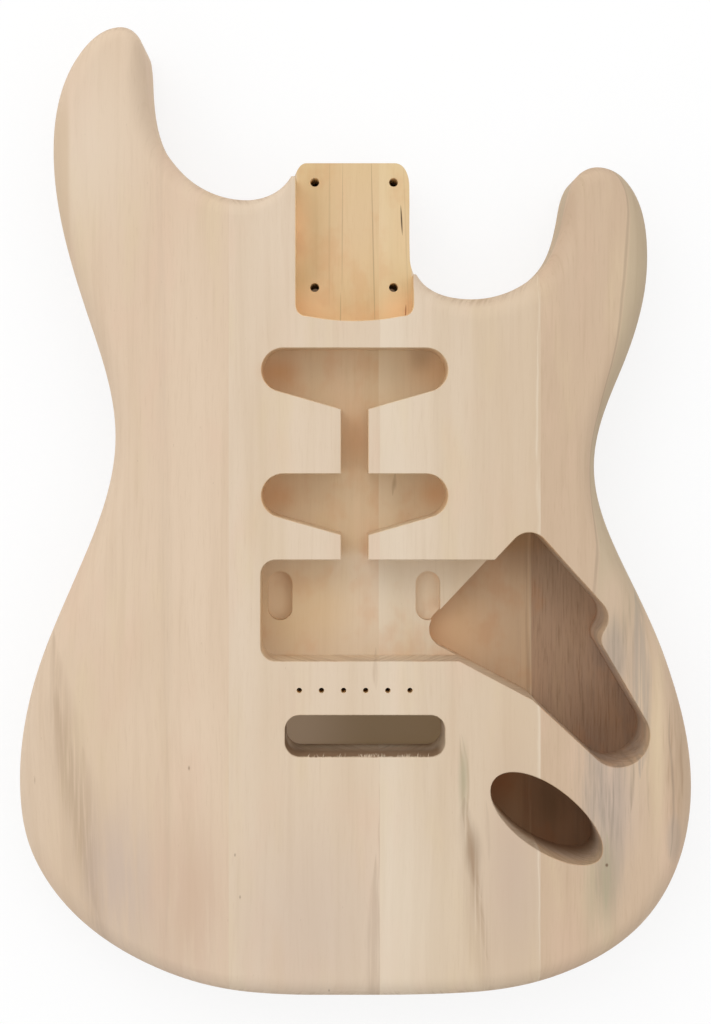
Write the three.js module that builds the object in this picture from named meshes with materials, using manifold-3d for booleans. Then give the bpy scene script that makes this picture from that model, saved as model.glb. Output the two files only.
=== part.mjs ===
// Bare wooden body blank of a double-cutaway electric guitar, glued up from four planks.
// Millimetres. The body lies on its back: +Z is out of the front face, +Y points to the neck,
// +X to the treble side. The origin is under the middle of the outline, on the back face.
import * as THREE from 'three';
import Module from 'manifold-3d';
import { mergeVertices } from 'three/addons/utils/BufferGeometryUtils.js';

const wasm = await Module();
wasm.setup();

// Body
const BODY_LENGTH = 462;
const BODY_WIDTH = 323.5;
const BODY_THICKNESS = 45;
const EDGE_RADIUS = 11;
// The strings, the neck pocket and the bridge share one centre line, a little off the outline's middle.
const CENTERLINE_X = 0.6;

// Contours for the player's forearm, on the front, and ribs, on the back
const FOREARM_SLOPE = 0.27;
const FOREARM_BLEND = 30;
const BELLY_DEPTH = 17;
const BELLY_REACH = 84;
const BELLY_HALF_SPAN = 104;

// Neck pocket and its four screw holes
const POCKET_WIDTH = 55.6;
const POCKET_LENGTH = 77.3;
const POCKET_DEPTH = 16;
const POCKET_CORNER_RADIUS = 6;
const POCKET_END_BOW = 2.2;
const NECK_SCREW_SPACING_X = 38.1;
const NECK_SCREW_SPACING_Y = 50.8;
const NECK_SCREW_SETBACK = 17.3;
const NECK_SCREW_HOLE = 4.4;

// Pickup cavities, counted from the end of the neck pocket
const NECK_PICKUP_SETBACK = 12.9;
const PICKUP_PITCH = 59.4;
const BRIDGE_PICKUP_PITCH = 40.7;
const PICKUP_DEPTH = 20;
const PICKUP_LENGTH = 88;
const PICKUP_END_RADIUS = 10.3;
const PICKUP_HEIGHT = 28.8;
const CHANNEL_WIDTH = 12.8;
const BRIDGE_PICKUP_LENGTH = 88.8;
const BRIDGE_PICKUP_HEIGHT = 47.8;
const BRIDGE_PICKUP_CORNER = 7;
const LEG_PITCH = 71.8;
const LEG_SETBACK = 7.2;
const LEG_WIDTH = 12;
const LEG_HEIGHT = 23.8;
const LEG_DEPTH = 5;

// Control cavity. A corner of wood stands into it on the treble side, close after the cavity's own
// right corner, at this clearance from it and in this direction in degrees.
const CONTROL_DEPTH = 31.75;
const CONTROL_CORNER_RADIUS = 9.5;
const CONTROL_END_RADIUS = 15;
const CONTROL_NOTCH_RADIUS = 7;
const CONTROL_NOTCH_CLEARANCE = 0.25;
const CONTROL_NOTCH_ANGLE = -38;

// Output jack cavity: an egg-shaped ellipse, lying across the lower treble bout
const JACK_DEPTH = 31.75;
const JACK_HALF_LENGTH = 31.1;
const JACK_HALF_WIDTH = 14.6;
const JACK_ANGLE = -36.5;

// Tremolo bridge: six pivot screws, the slot for its block, and the spring cavity in the back
const PIVOT_SETBACK = 174.6;
const PIVOT_SCREW_PITCH = 10.45;
const PIVOT_SCREW_COUNT = 6;
const PIVOT_SCREW_HOLE = 2.6;
const PIVOT_SCREW_DEPTH = 20;
const SLOT_SETBACK = 11.7;
const SLOT_OFFSET = 4.9;
const SLOT_LENGTH = 75.8;
const SLOT_WIDTH = 19.7;
const SLOT_CORNER = 7;
const SPRING_DEPTH = 16;
const SPRING_WIDTH = 57;
const SPRING_LENGTH = 110;
const SPRING_CORNER = 6.5;
const BLOCK_MARGIN = 3;
const BLOCK_SWING = 9;

// Wire drillings: their holes, how far into each cavity they run, and their heights above the back
const JACK_WIRE_HOLE = 8;
const JACK_WIRE_RUN = 7;
const JACK_WIRE_HEIGHT = 21;
const EARTH_WIRE_HOLE = 4;
const EARTH_WIRE_RUN = 3;
const EARTH_WIRE_HIGH_END = 18;
const EARTH_WIRE_LOW_END = 4;

// Facets, grid and cutter lengths
const LONGEST_STEP = 13;
const TURN_STEP = 9;
const EDGE_FACETS = 4;
const CURVE_SEGMENTS = 9;
const DRILL_SIDES = 12;
const SURFACE_PITCH = 10;
const OVERRUN = 5;
const MERGE_TOLERANCE = 0.0001;

// End of the heel, where the neck pocket opens
const HEEL_END_SHARE = 0.3637;
// Outline, anticlockwise from the tail. Each row: share of the width across, share of the length
// along, heading in degrees, and share of the full edge radius, which fades out round the heel.
const OUTLINE_SHARES = [
  [-0.0550, -0.5000, 0, 1],
  [0.0350, -0.5000, 0, 1],
  [0.1680, -0.4975, 3.3, 1],
  [0.3060, -0.4785, 20.5, 1],
  [0.4245, -0.4275, 45.8, 1],
  [0.5000, -0.2830, 90, 1],
  [0.4610, -0.1500, 109.5, 1],
  [0.4040, -0.0610, 116, 1],
  [0.3565, 0.0470, 90, 1],
  [0.3930, 0.1410, 67, 1],
  [0.4350, 0.2620, 90, 1],
  [0.4000, 0.3440, 134, 1],
  [0.3600, 0.3560, 180, 1],
  [0.3257, 0.3417, -118, 1],
  [0.3125, 0.3080, -101, 1],
  [0.2785, 0.2509, -133.5, 1],
  [0.1750, 0.2203, 180, 1],
  [0.1077, 0.2330, 142, 0.75],
  [0.0850, 0.2640, 92, 0.25],
  [0.0842, 0.3400, 91, 0.15],
  [0.0620, HEEL_END_SHARE, 180, 0.15],
  [-0.0690, HEEL_END_SHARE, 180, 0.15],
  [-0.0929, 0.3423, -124.5, 0.2],
  [-0.1550, 0.3220, 180, 0.75],
  [-0.2562, 0.3535, 132.5, 1],
  [-0.2915, 0.3925, 110, 1],
  [-0.3045, 0.4437, 94, 1],
  [-0.3090, 0.4780, 100, 1],
  [-0.3420, 0.5000, 180, 1],
  [-0.4035, 0.4734, -126.5, 1],
  [-0.4433, 0.3730, -90, 1],
  [-0.3864, 0.1900, -71.3, 1],
  [-0.3518, 0.0780, -90, 1],
  [-0.4100, -0.0660, -113.5, 1],
  [-0.4760, -0.1834, -106.5, 1],
  [-0.5000, -0.2900, -90, 1],
  [-0.4911, -0.3446, -75, 1],
  [-0.4485, -0.4023, -52, 1],
  [-0.2963, -0.4752, -20, 1],
];

// Glue lines between the planks, across the body
const BASS_SEAM_SHARE = -0.1818;
const CENTER_SEAM_SHARE = 0.0389;
const TREBLE_SEAM_SHARE = 0.2733;

// Where the forearm slope starts: a straight line over the lower bass bout
const FOREARM_LINE_SHARES = [
  [-0.431, -0.130],
  [-0.151, -0.4976],
];
// Middle of the rib contour on the bass edge
const BELLY_CENTER_SHARES = [-0.352, 0.098];

// Centres of the rounded corners that the control cavity's outline runs round
const CONTROL_CORNER_SHARES = {
  top: [0.2569, -0.0407],
  left: [0.1440, -0.1245],
  knee: [0.2615, -0.1913],
  end: [0.3864, -0.2277],
  right: [0.3425, -0.1074],
};
const JACK_CENTER_SHARES = [0.2825, -0.3132];
// How far the egg's blunt end outweighs its sharp one
const JACK_EGG_SHARE = 0.06;
const JACK_WIRE_ACROSS_SHARE = 0.303;
// How far the last facet of a rounded edge runs on past the face, in edge radii
const EDGE_PAST_SHARE = 0.08;

const BASS_SEAM_X = BASS_SEAM_SHARE * BODY_WIDTH;
const CENTER_SEAM_X = CENTER_SEAM_SHARE * BODY_WIDTH;
const TREBLE_SEAM_X = TREBLE_SEAM_SHARE * BODY_WIDTH;
const place = ([across, along]) => new THREE.Vector2(across * BODY_WIDTH, along * BODY_LENGTH);
const POCKET_END_Y = HEEL_END_SHARE * BODY_LENGTH - POCKET_LENGTH;
const BRIDGE_PICKUP_TOP = POCKET_END_Y - NECK_PICKUP_SETBACK - PICKUP_PITCH - BRIDGE_PICKUP_PITCH;
const PIVOT_Y = POCKET_END_Y - PIVOT_SETBACK;
const SLOT_TOP = PIVOT_Y - SLOT_SETBACK;
const SLOT_MIDDLE = CENTERLINE_X + SLOT_OFFSET;
const POCKET_FLOOR = BODY_THICKNESS - POCKET_DEPTH;
const PICKUP_FLOOR = BODY_THICKNESS - PICKUP_DEPTH;
const CONTROL_FLOOR = BODY_THICKNESS - CONTROL_DEPTH;
const ABOVE_FRONT = BODY_THICKNESS + OVERRUN;

// Closed mesh to solid and back

function toSolid(geometry) {
  const bare = geometry.clone();
  bare.deleteAttribute('normal');
  bare.deleteAttribute('uv');
  const merged = mergeVertices(bare, MERGE_TOLERANCE);
  return new wasm.Manifold(new wasm.Mesh({
    numProp: 3,
    vertProperties: new Float32Array(merged.attributes.position.array),
    triVerts: new Uint32Array(merged.index.array),
  }));
}

function toGeometry(solid) {
  const mesh = solid.getMesh();
  const geometry = new THREE.BufferGeometry();
  geometry.setAttribute('position', new THREE.BufferAttribute(new Float32Array(mesh.vertProperties), 3));
  geometry.setIndex(new THREE.BufferAttribute(new Uint32Array(mesh.triVerts), 1));
  geometry.computeVertexNormals();
  return geometry;
}

function extrude(shape, low, high) {
  const geometry = new THREE.ExtrudeGeometry(shape, {
    depth: high - low,
    bevelEnabled: false,
    curveSegments: CURVE_SEGMENTS,
  });
  geometry.translate(0, 0, low);
  return toSolid(geometry);
}

function drill(start, end, diameter) {
  const radius = diameter / 2;
  const geometry = new THREE.CylinderGeometry(radius, radius, start.distanceTo(end), DRILL_SIDES);
  const along = end.clone().sub(start).normalize();
  geometry.applyQuaternion(new THREE.Quaternion().setFromUnitVectors(new THREE.Vector3(0, 1, 0), along));
  const middle = start.clone().lerp(end, 1 / 2);
  geometry.translate(middle.x, middle.y, middle.z);
  return toSolid(geometry);
}

// Outline that runs anticlockwise round a list of corner circles, joined by straight tangents.
// A negative radius is a corner of wood that stands into the cavity; zero is a sharp corner.
function roundedShape(corners) {
  const shape = new THREE.Shape();
  const headings = corners.map((from, i) => {
    const to = corners[(i + 1) % corners.length];
    const gap = to.center.clone().sub(from.center);
    return Math.atan2(gap.y, gap.x) + Math.asin((from.radius - to.radius) / gap.length());
  });
  corners.forEach(({ center, radius }, i) => {
    const arriving = headings[(i + corners.length - 1) % corners.length];
    const leaving = headings[i];
    const quarter = Math.sign(radius) * Math.PI / 2;
    if (radius === 0) {
      if (i === 0) shape.moveTo(center.x, center.y);
      else shape.lineTo(center.x, center.y);
      return;
    }
    shape.absarc(center.x, center.y, Math.abs(radius), arriving - quarter, leaving - quarter, radius < 0);
  });
  shape.closePath();
  return shape;
}

const corner = (x, y, radius) => ({ center: new THREE.Vector2(x, y), radius });

function roundedRectangle(left, right, bottom, top, radius) {
  return roundedShape([
    corner(left + radius, top - radius, radius),
    corner(left + radius, bottom + radius, radius),
    corner(right - radius, bottom + radius, radius),
    corner(right - radius, top - radius, radius),
  ]);
}

// Front and back surfaces, before the edges are rounded

// Height taken off the front: a plane that leans down from the forearm line, eased in over a blend.
const forearmStart = place(FOREARM_LINE_SHARES[0]);
const forearmAlong = place(FOREARM_LINE_SHARES[1]).sub(forearmStart).normalize();
function forearmCut(x, y) {
  const outward = (x - forearmStart.x) * forearmAlong.y - (y - forearmStart.y) * forearmAlong.x;
  if (outward <= 0) return 0;
  if (outward < FOREARM_BLEND) return FOREARM_SLOPE * outward * outward / (2 * FOREARM_BLEND);
  return FOREARM_SLOPE * (outward - FOREARM_BLEND / 2);
}

// Height taken off the back: a hollow that is deepest at the bass edge and dies out on a parabola.
const bellyCenter = place(BELLY_CENTER_SHARES);
function bellyCut(x, y) {
  const inward = (x - bellyCenter.x) / BELLY_REACH;
  const along = (y - bellyCenter.y) / BELLY_HALF_SPAN;
  const room = 1 - inward - along * along;
  return room > 0 ? BELLY_DEPTH * room ** (3 / 2) : 0;
}

const frontHeight = (x, y) => BODY_THICKNESS - forearmCut(x, y);
const backHeight = (x, y) => bellyCut(x, y);

// Points from the first stop to the last, spread evenly between stops and at most one pitch apart
function gridLine(stops) {
  const spans = stops.slice(1).flatMap((to, i) => {
    const from = stops[i];
    const steps = Math.ceil((to - from) / SURFACE_PITCH);
    return Array.from({ length: steps }, (_, step) => from + (to - from) * step / steps);
  });
  return [...spans, stops[stops.length - 1]];
}

// Block between the back and front surfaces, larger all round than the outline. Its grid has a line
// on each seam, so that no sliver of it is left beside one.
function surfaceBlock() {
  const side = BODY_WIDTH / 2 + OVERRUN;
  const end = BODY_LENGTH / 2 + OVERRUN;
  const xs = gridLine([-side, BASS_SEAM_X, CENTER_SEAM_X, TREBLE_SEAM_X, side]);
  const ys = gridLine([-end, end]);
  const positions = [];
  const index = [];
  const layerSize = xs.length * ys.length;
  const at = (layer, i, j) => layer * layerSize + j * xs.length + i;
  const quad = (a, b, c, d) => index.push(a, b, c, a, c, d);
  for (const height of [backHeight, frontHeight]) {
    for (const y of ys) for (const x of xs) positions.push(x, y, height(x, y));
  }
  const lastX = xs.length - 1;
  const lastY = ys.length - 1;
  for (let j = 0; j < lastY; j += 1) {
    for (let i = 0; i < lastX; i += 1) {
      quad(at(1, i, j), at(1, i + 1, j), at(1, i + 1, j + 1), at(1, i, j + 1));
      quad(at(0, i, j), at(0, i, j + 1), at(0, i + 1, j + 1), at(0, i + 1, j));
    }
  }
  for (let i = 0; i < lastX; i += 1) {
    quad(at(0, i, 0), at(0, i + 1, 0), at(1, i + 1, 0), at(1, i, 0));
    quad(at(0, i + 1, lastY), at(0, i, lastY), at(1, i, lastY), at(1, i + 1, lastY));
  }
  for (let j = 0; j < lastY; j += 1) {
    quad(at(0, 0, j + 1), at(0, 0, j), at(1, 0, j), at(1, 0, j + 1));
    quad(at(0, lastX, j), at(0, lastX, j + 1), at(1, lastX, j + 1), at(1, lastX, j));
  }
  return solidFromLists(positions, index);
}

function solidFromLists(positions, index) {
  return new wasm.Manifold(new wasm.Mesh({
    numProp: 3,
    vertProperties: new Float32Array(positions),
    triVerts: new Uint32Array(index),
  }));
}

// Outline with rounded front and back edges

// Spans of the smooth closed curve through the outline's rows. Each one leaves and arrives at the
// rows' headings, with the handles that a circular arc would have.
function outlineSpans(rows) {
  const handle = ({ point, heading }, length) => (
    new THREE.Vector2(Math.cos(heading), Math.sin(heading)).multiplyScalar(length).add(point));
  return rows.map((from, row) => {
    const to = rows[(row + 1) % rows.length];
    const turn = Math.atan2(Math.sin(to.heading - from.heading), Math.cos(to.heading - from.heading));
    const reach = from.point.distanceTo(to.point) / (3 * Math.cos(turn / 4) ** 2);
    const curve = new THREE.CubicBezierCurve(from.point, handle(from, reach), handle(to, -reach), to.point);
    return { curve, turn, length: curve.getLength() };
  });
}

// Sharpest outward turn of a span, in radians per millimetre
function sharpestTurn({ curve }) {
  const stops = Array.from({ length: CURVE_SEGMENTS + 1 }, (_, i) => i / CURVE_SEGMENTS);
  const turns = stops.slice(1).map((stop, i) => (
    curve.getTangent(stops[i]).cross(curve.getTangent(stop))
      / curve.getPoint(stops[i]).distanceTo(curve.getPoint(stop))));
  return Math.max(0, ...turns);
}

// Points round the outline with their inward normal and edge radius. The edge radius is the row's own
// on straight and hollow stretches. On an outer turn it is smaller, and always under the turn's radius.
function outlinePoints() {
  const rows = OUTLINE_SHARES.map(([across, along, degrees, edge]) => ({
    point: place([across, along]),
    heading: THREE.MathUtils.degToRad(degrees),
    edge: edge * EDGE_RADIUS,
  }));
  const spans = outlineSpans(rows);
  const edges = rows.map(({ edge }, row) => {
    const before = spans[(row + rows.length - 1) % rows.length];
    return 1 / Math.hypot(1 / edge, Math.max(sharpestTurn(before), sharpestTurn(spans[row])));
  });
  return spans.flatMap(({ curve, turn, length }, row) => {
    const bends = Math.abs(THREE.MathUtils.radToDeg(turn)) / TURN_STEP;
    const steps = turn === 0 ? 1 : Math.ceil(Math.max(bends, length / LONGEST_STEP));
    return Array.from({ length: steps }, (_, i) => {
      const tangent = curve.getTangent(i / steps);
      return {
        point: curve.getPoint(i / steps),
        inward: new THREE.Vector2(-tangent.y, tangent.x),
        edge: THREE.MathUtils.lerp(edges[row], edges[(row + 1) % rows.length], i / steps),
      };
    });
  });
}

// Quarter circle of the rounded edge, as how far each point lies in from the outline and below the
// face, in edge radii. Its last facet runs on past the face, where the surface block cuts it off.
function edgeProfile() {
  const angles = Array.from({ length: EDGE_FACETS }, (_, i) => i / EDGE_FACETS * Math.PI / 2);
  const profile = angles.map((angle) => ({ inset: 1 - Math.cos(angle), drop: 1 - Math.sin(angle) }));
  const last = profile[EDGE_FACETS - 1];
  const slope = last.drop / (1 - last.inset);
  return [...profile, { inset: 1 + EDGE_PAST_SHARE, drop: -EDGE_PAST_SHARE * slope }];
}

// Solid through a stack of closed rings of points, all alike in number, with flat ends
function solidThroughRings(rings) {
  const count = rings[0].length;
  const index = [];
  for (let low = 0; low < (rings.length - 1) * count; low += count) {
    for (let i = 0; i < count; i += 1) {
      const next = (i + 1) % count;
      const high = low + count;
      index.push(low + i, low + next, high + next, low + i, high + next, high + i);
    }
  }
  const top = (rings.length - 1) * count;
  for (const [a, b, c] of THREE.ShapeUtils.triangulateShape(rings[0], [])) {
    index.push(a, c, b, top + a, top + b, top + c);
  }
  return solidFromLists(rings.flat().flatMap(({ x, y, z }) => [x, y, z]), index);
}

// Outline with rounded edges that follow the back and front surfaces, standing past both
function roundedPrism() {
  const points = outlinePoints();
  const profile = edgeProfile();
  const ring = ({ inset, drop }, height) => points.map(({ point, inward, edge }) => {
    const { x, y } = point.clone().addScaledVector(inward, edge * inset);
    return new THREE.Vector3(x, y, height(x, y, edge * drop));
  });
  const outermost = profile[profile.length - 1];
  return solidThroughRings([
    ring(outermost, () => -OVERRUN),
    ...profile.toReversed().map((step) => ring(step, (x, y, drop) => backHeight(x, y) + drop)),
    ...profile.map((step) => ring(step, (x, y, drop) => frontHeight(x, y) - drop)),
    ring(outermost, () => ABOVE_FRONT),
  ]);
}

// Cuts from the front

// Open at the heel, with a slightly bowed end and rounded inner corners
function neckPocket() {
  const left = CENTERLINE_X - POCKET_WIDTH / 2;
  const right = CENTERLINE_X + POCKET_WIDTH / 2;
  const open = BODY_LENGTH / 2;
  const shoulder = POCKET_END_Y + POCKET_END_BOW;
  const shape = new THREE.Shape();
  shape.moveTo(right, open);
  shape.lineTo(left, open);
  shape.lineTo(left, shoulder + POCKET_CORNER_RADIUS);
  shape.quadraticCurveTo(left, shoulder, left + POCKET_CORNER_RADIUS, shoulder);
  const bowControl = POCKET_END_Y - POCKET_END_BOW;
  shape.quadraticCurveTo(CENTERLINE_X, bowControl, right - POCKET_CORNER_RADIUS, shoulder);
  shape.quadraticCurveTo(right, shoulder, right, shoulder + POCKET_CORNER_RADIUS);
  shape.closePath();
  return extrude(shape, POCKET_FLOOR, ABOVE_FRONT);
}

function neckScrewHoles() {
  const middle = POCKET_END_Y + NECK_SCREW_SETBACK + NECK_SCREW_SPACING_Y / 2;
  return [-1, 1].flatMap((side) => [-1, 1].map((end) => {
    const x = CENTERLINE_X + side * NECK_SCREW_SPACING_X / 2;
    const y = middle + end * NECK_SCREW_SPACING_Y / 2;
    return drill(
      new THREE.Vector3(x, y, -OVERRUN), new THREE.Vector3(x, y, POCKET_FLOOR + OVERRUN), NECK_SCREW_HOLE);
  }));
}

// The three pickup cavities with the wire channel that joins them, all of one depth, in one outline.
// The two single ones are straight on the neck side, round at the ends, and slope in to the channel.
// The bridge one runs on into the control cavity, under that cavity's own corner.
function pickupCavities() {
  const reach = PICKUP_LENGTH / 2 - PICKUP_END_RADIUS;
  const throat = CHANNEL_WIDTH / 2;
  const neckTop = POCKET_END_Y - NECK_PICKUP_SETBACK;
  const halfOutline = (side) => [neckTop, neckTop - PICKUP_PITCH].flatMap((top) => [
    corner(CENTERLINE_X + side * throat, top, 0),
    corner(CENTERLINE_X + side * reach, top - PICKUP_END_RADIUS, PICKUP_END_RADIUS),
    corner(CENTERLINE_X + side * throat, top - PICKUP_HEIGHT, 0),
  ]).slice(1);
  const rounding = BRIDGE_PICKUP_CORNER;
  const left = CENTERLINE_X - BRIDGE_PICKUP_LENGTH / 2 + rounding;
  const right = place(CONTROL_CORNER_SHARES.top).x - rounding;
  const high = BRIDGE_PICKUP_TOP - rounding;
  const low = BRIDGE_PICKUP_TOP - BRIDGE_PICKUP_HEIGHT + rounding;
  return extrude(roundedShape([
    ...halfOutline(-1),
    corner(CENTERLINE_X - throat, BRIDGE_PICKUP_TOP, 0),
    corner(left, high, rounding),
    corner(left, low, rounding),
    corner(right, low, rounding),
    corner(right, high, rounding),
    corner(CENTERLINE_X + throat, BRIDGE_PICKUP_TOP, 0),
    ...halfOutline(1).reverse(),
  ]), PICKUP_FLOOR, ABOVE_FRONT);
}

// Deeper pockets for the pickup's height screws, at both ends of the bridge pickup's cavity
function legPockets() {
  const top = BRIDGE_PICKUP_TOP - LEG_SETBACK;
  return [-1, 1].map((side) => {
    const middle = CENTERLINE_X + side * LEG_PITCH / 2;
    const radius = LEG_WIDTH / 2;
    const shape = roundedShape([
      corner(middle, top - radius, radius),
      corner(middle, top - LEG_HEIGHT + radius, radius),
    ]);
    return extrude(shape, PICKUP_FLOOR - LEG_DEPTH, ABOVE_FRONT);
  });
}

function controlCavity() {
  const at = (name, radius) => ({ center: place(CONTROL_CORNER_SHARES[name]), radius });
  const right = at('right', CONTROL_CORNER_RADIUS);
  const notchReach = CONTROL_CORNER_RADIUS + CONTROL_NOTCH_CLEARANCE + CONTROL_NOTCH_RADIUS;
  const toNotch = new THREE.Vector2(notchReach, 0)
    .rotateAround(new THREE.Vector2(), THREE.MathUtils.degToRad(CONTROL_NOTCH_ANGLE));
  return extrude(roundedShape([
    at('top', CONTROL_CORNER_RADIUS),
    at('left', CONTROL_CORNER_RADIUS),
    at('knee', 0),
    at('end', CONTROL_END_RADIUS),
    { center: toNotch.add(right.center), radius: -CONTROL_NOTCH_RADIUS },
    right,
  ]), CONTROL_FLOOR, ABOVE_FRONT);
}

// An ellipse whose upper end is blunter than its lower one
function jackCavity() {
  const center = place(JACK_CENTER_SHARES);
  const lean = THREE.MathUtils.degToRad(JACK_ANGLE);
  const steps = 4 * CURVE_SEGMENTS;
  const points = Array.from({ length: steps }, (_, i) => {
    const angle = i / steps * 2 * Math.PI;
    const along = JACK_HALF_LENGTH * Math.cos(angle);
    const across = JACK_HALF_WIDTH * Math.sin(angle) * (1 - JACK_EGG_SHARE * Math.cos(angle));
    return new THREE.Vector2(along, across).rotateAround(new THREE.Vector2(), lean).add(center);
  });
  return extrude(new THREE.Shape(points), BODY_THICKNESS - JACK_DEPTH, ABOVE_FRONT);
}

function pivotScrewHoles() {
  const middle = (PIVOT_SCREW_COUNT - 1) / 2;
  const low = BODY_THICKNESS - PIVOT_SCREW_DEPTH;
  return Array.from({ length: PIVOT_SCREW_COUNT }, (_, i) => {
    const x = CENTERLINE_X + (i - middle) * PIVOT_SCREW_PITCH;
    return drill(
      new THREE.Vector3(x, PIVOT_Y, low), new THREE.Vector3(x, PIVOT_Y, ABOVE_FRONT), PIVOT_SCREW_HOLE);
  });
}

// Slot for the bridge's block, right through the body
function tremoloSlot() {
  const shape = roundedRectangle(
    SLOT_MIDDLE - SLOT_LENGTH / 2, SLOT_MIDDLE + SLOT_LENGTH / 2,
    SLOT_TOP - SLOT_WIDTH, SLOT_TOP, SLOT_CORNER);
  return extrude(shape, -OVERRUN, ABOVE_FRONT);
}

// Cuts from the back

// Room for the springs, and wider behind the slot, where the bridge's block swings
function springCavity() {
  const springSide = SPRING_WIDTH / 2;
  const springTop = SLOT_TOP + SPRING_LENGTH - SPRING_CORNER;
  const blockSide = SLOT_LENGTH / 2 + BLOCK_MARGIN - SPRING_CORNER;
  const blockTop = SLOT_TOP + BLOCK_MARGIN;
  const blockLow = SLOT_TOP - SLOT_WIDTH - BLOCK_SWING + SPRING_CORNER;
  const halfOutline = (side) => [
    corner(CENTERLINE_X + side * (springSide - SPRING_CORNER), springTop, SPRING_CORNER),
    corner(CENTERLINE_X + side * springSide, blockTop, 0),
    corner(SLOT_MIDDLE + side * blockSide, blockTop - SPRING_CORNER, SPRING_CORNER),
    corner(SLOT_MIDDLE + side * blockSide, blockLow, SPRING_CORNER),
  ];
  return extrude(roundedShape([...halfOutline(-1), ...halfOutline(1).reverse()]), -OVERRUN, SPRING_DEPTH);
}

// One drilling from the control cavity to the jack cavity, and one down to the spring cavity
function wireHoles() {
  const across = JACK_WIRE_ACROSS_SHARE * BODY_WIDTH;
  const toJack = drill(
    new THREE.Vector3(across, place(CONTROL_CORNER_SHARES.knee).y - JACK_WIRE_RUN, JACK_WIRE_HEIGHT),
    new THREE.Vector3(across, place(JACK_CENTER_SHARES).y, JACK_WIRE_HEIGHT),
    JACK_WIRE_HOLE);
  const tip = place(CONTROL_CORNER_SHARES.left);
  const controlWall = tip.x - CONTROL_CORNER_RADIUS;
  const springWall = CENTERLINE_X + SPRING_WIDTH / 2;
  const toSprings = drill(
    new THREE.Vector3(controlWall + EARTH_WIRE_RUN, tip.y, EARTH_WIRE_HIGH_END),
    new THREE.Vector3(springWall - EARTH_WIRE_RUN, tip.y, EARTH_WIRE_LOW_END),
    EARTH_WIRE_HOLE);
  return [toJack, toSprings];
}

function bodyBlank() {
  const cuts = [
    neckPocket(),
    ...neckScrewHoles(),
    pickupCavities(),
    ...legPockets(),
    controlCavity(),
    jackCavity(),
    ...pivotScrewHoles(),
    tremoloSlot(),
    springCavity(),
    ...wireHoles(),
  ];
  const blank = roundedPrism().intersect(surfaceBlock());
  return cuts.reduce((body, cut) => body.subtract(cut), blank);
}

// Planks, from the bass side to the treble side, edge-glued along the grain

const PLANKS = [
  { name: 'bass_outer_plank', from: -BODY_WIDTH, to: BASS_SEAM_X, color: 0xddc9b1 },
  { name: 'bass_center_plank', from: BASS_SEAM_X, to: CENTER_SEAM_X, color: 0xdfccb6 },
  { name: 'treble_center_plank', from: CENTER_SEAM_X, to: TREBLE_SEAM_X, color: 0xdfd0bd },
  { name: 'treble_outer_plank', from: TREBLE_SEAM_X, to: BODY_WIDTH, color: 0xd0b89c },
];

// Neighbouring slabs share their seam's exact position, so the planks meet face to face.
const plankSlab = ({ from, to }) => (
  extrude(roundedRectangle(from, to, -BODY_LENGTH, BODY_LENGTH, 0), -OVERRUN, ABOVE_FRONT));

const body = bodyBlank();
const guitarBody = new THREE.Group();
guitarBody.name = 'guitar_body';
for (const plank of PLANKS) {
  const geometry = toGeometry(body.intersect(plankSlab(plank)));
  const material = new THREE.MeshStandardMaterial({ color: plank.color, roughness: 0.78, metalness: 0 });
  const mesh = new THREE.Mesh(geometry, material);
  mesh.name = plank.name;
  guitarBody.add(mesh);
}

export default guitarBody;
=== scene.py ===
import math
import random

import bmesh
import bpy
from mathutils import Euler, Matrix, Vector


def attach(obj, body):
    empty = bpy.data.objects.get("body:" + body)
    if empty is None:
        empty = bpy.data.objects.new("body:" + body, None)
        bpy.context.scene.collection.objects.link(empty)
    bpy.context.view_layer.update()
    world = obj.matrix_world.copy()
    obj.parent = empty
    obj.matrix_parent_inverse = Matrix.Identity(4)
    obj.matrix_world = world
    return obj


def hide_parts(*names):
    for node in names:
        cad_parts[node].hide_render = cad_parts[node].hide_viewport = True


# Bare wooden body blank of a double-cutaway electric guitar, glued up from four planks.
# Lengths are in millimetres here and become metres when a mesh is made. The body lies on its back:
# +Z is out of the front face, +Y points to the neck, +X to the treble side.
MM = 0.001

# Body, as in the CAD source
BODY_LENGTH = 462
BODY_WIDTH = 323.5
BODY_THICKNESS = 45
EDGE_RADIUS = 11
CENTERLINE_X = 0.6
FOREARM_SLOPE = 0.27
FOREARM_BLEND = 30
BELLY_DEPTH = 17
BELLY_REACH = 84
BELLY_HALF_SPAN = 104

# Neck pocket and its screw holes
POCKET_WIDTH = 55.6
POCKET_LENGTH = 77.3
POCKET_DEPTH = 16
POCKET_CORNER_RADIUS = 6
POCKET_END_BOW = 2.2
NECK_SCREW_SPACING_X = 38.1
NECK_SCREW_SPACING_Y = 50.8
NECK_SCREW_SETBACK = 17.3
NECK_SCREW_HOLE = 4.4

# Pickup cavities
NECK_PICKUP_SETBACK = 12.9
PICKUP_PITCH = 59.4
BRIDGE_PICKUP_PITCH = 40.7
PICKUP_DEPTH = 20
PICKUP_LENGTH = 88
PICKUP_END_RADIUS = 10.3
PICKUP_HEIGHT = 28.8
CHANNEL_WIDTH = 12.8
BRIDGE_PICKUP_LENGTH = 88.8
BRIDGE_PICKUP_HEIGHT = 47.8
BRIDGE_PICKUP_CORNER = 7
LEG_PITCH = 71.8
LEG_SETBACK = 7.2
LEG_WIDTH = 12
LEG_HEIGHT = 23.8
LEG_DEPTH = 5

# Control and jack cavities
CONTROL_DEPTH = 31.75
CONTROL_CORNER_RADIUS = 9.5
CONTROL_END_RADIUS = 15
CONTROL_NOTCH_RADIUS = 7
CONTROL_NOTCH_CLEARANCE = 0.25
CONTROL_NOTCH_ANGLE = -38
JACK_DEPTH = 31.75
JACK_HALF_LENGTH = 31.1
JACK_HALF_WIDTH = 14.6
JACK_ANGLE = -36.5
JACK_EGG_SHARE = 0.06

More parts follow.
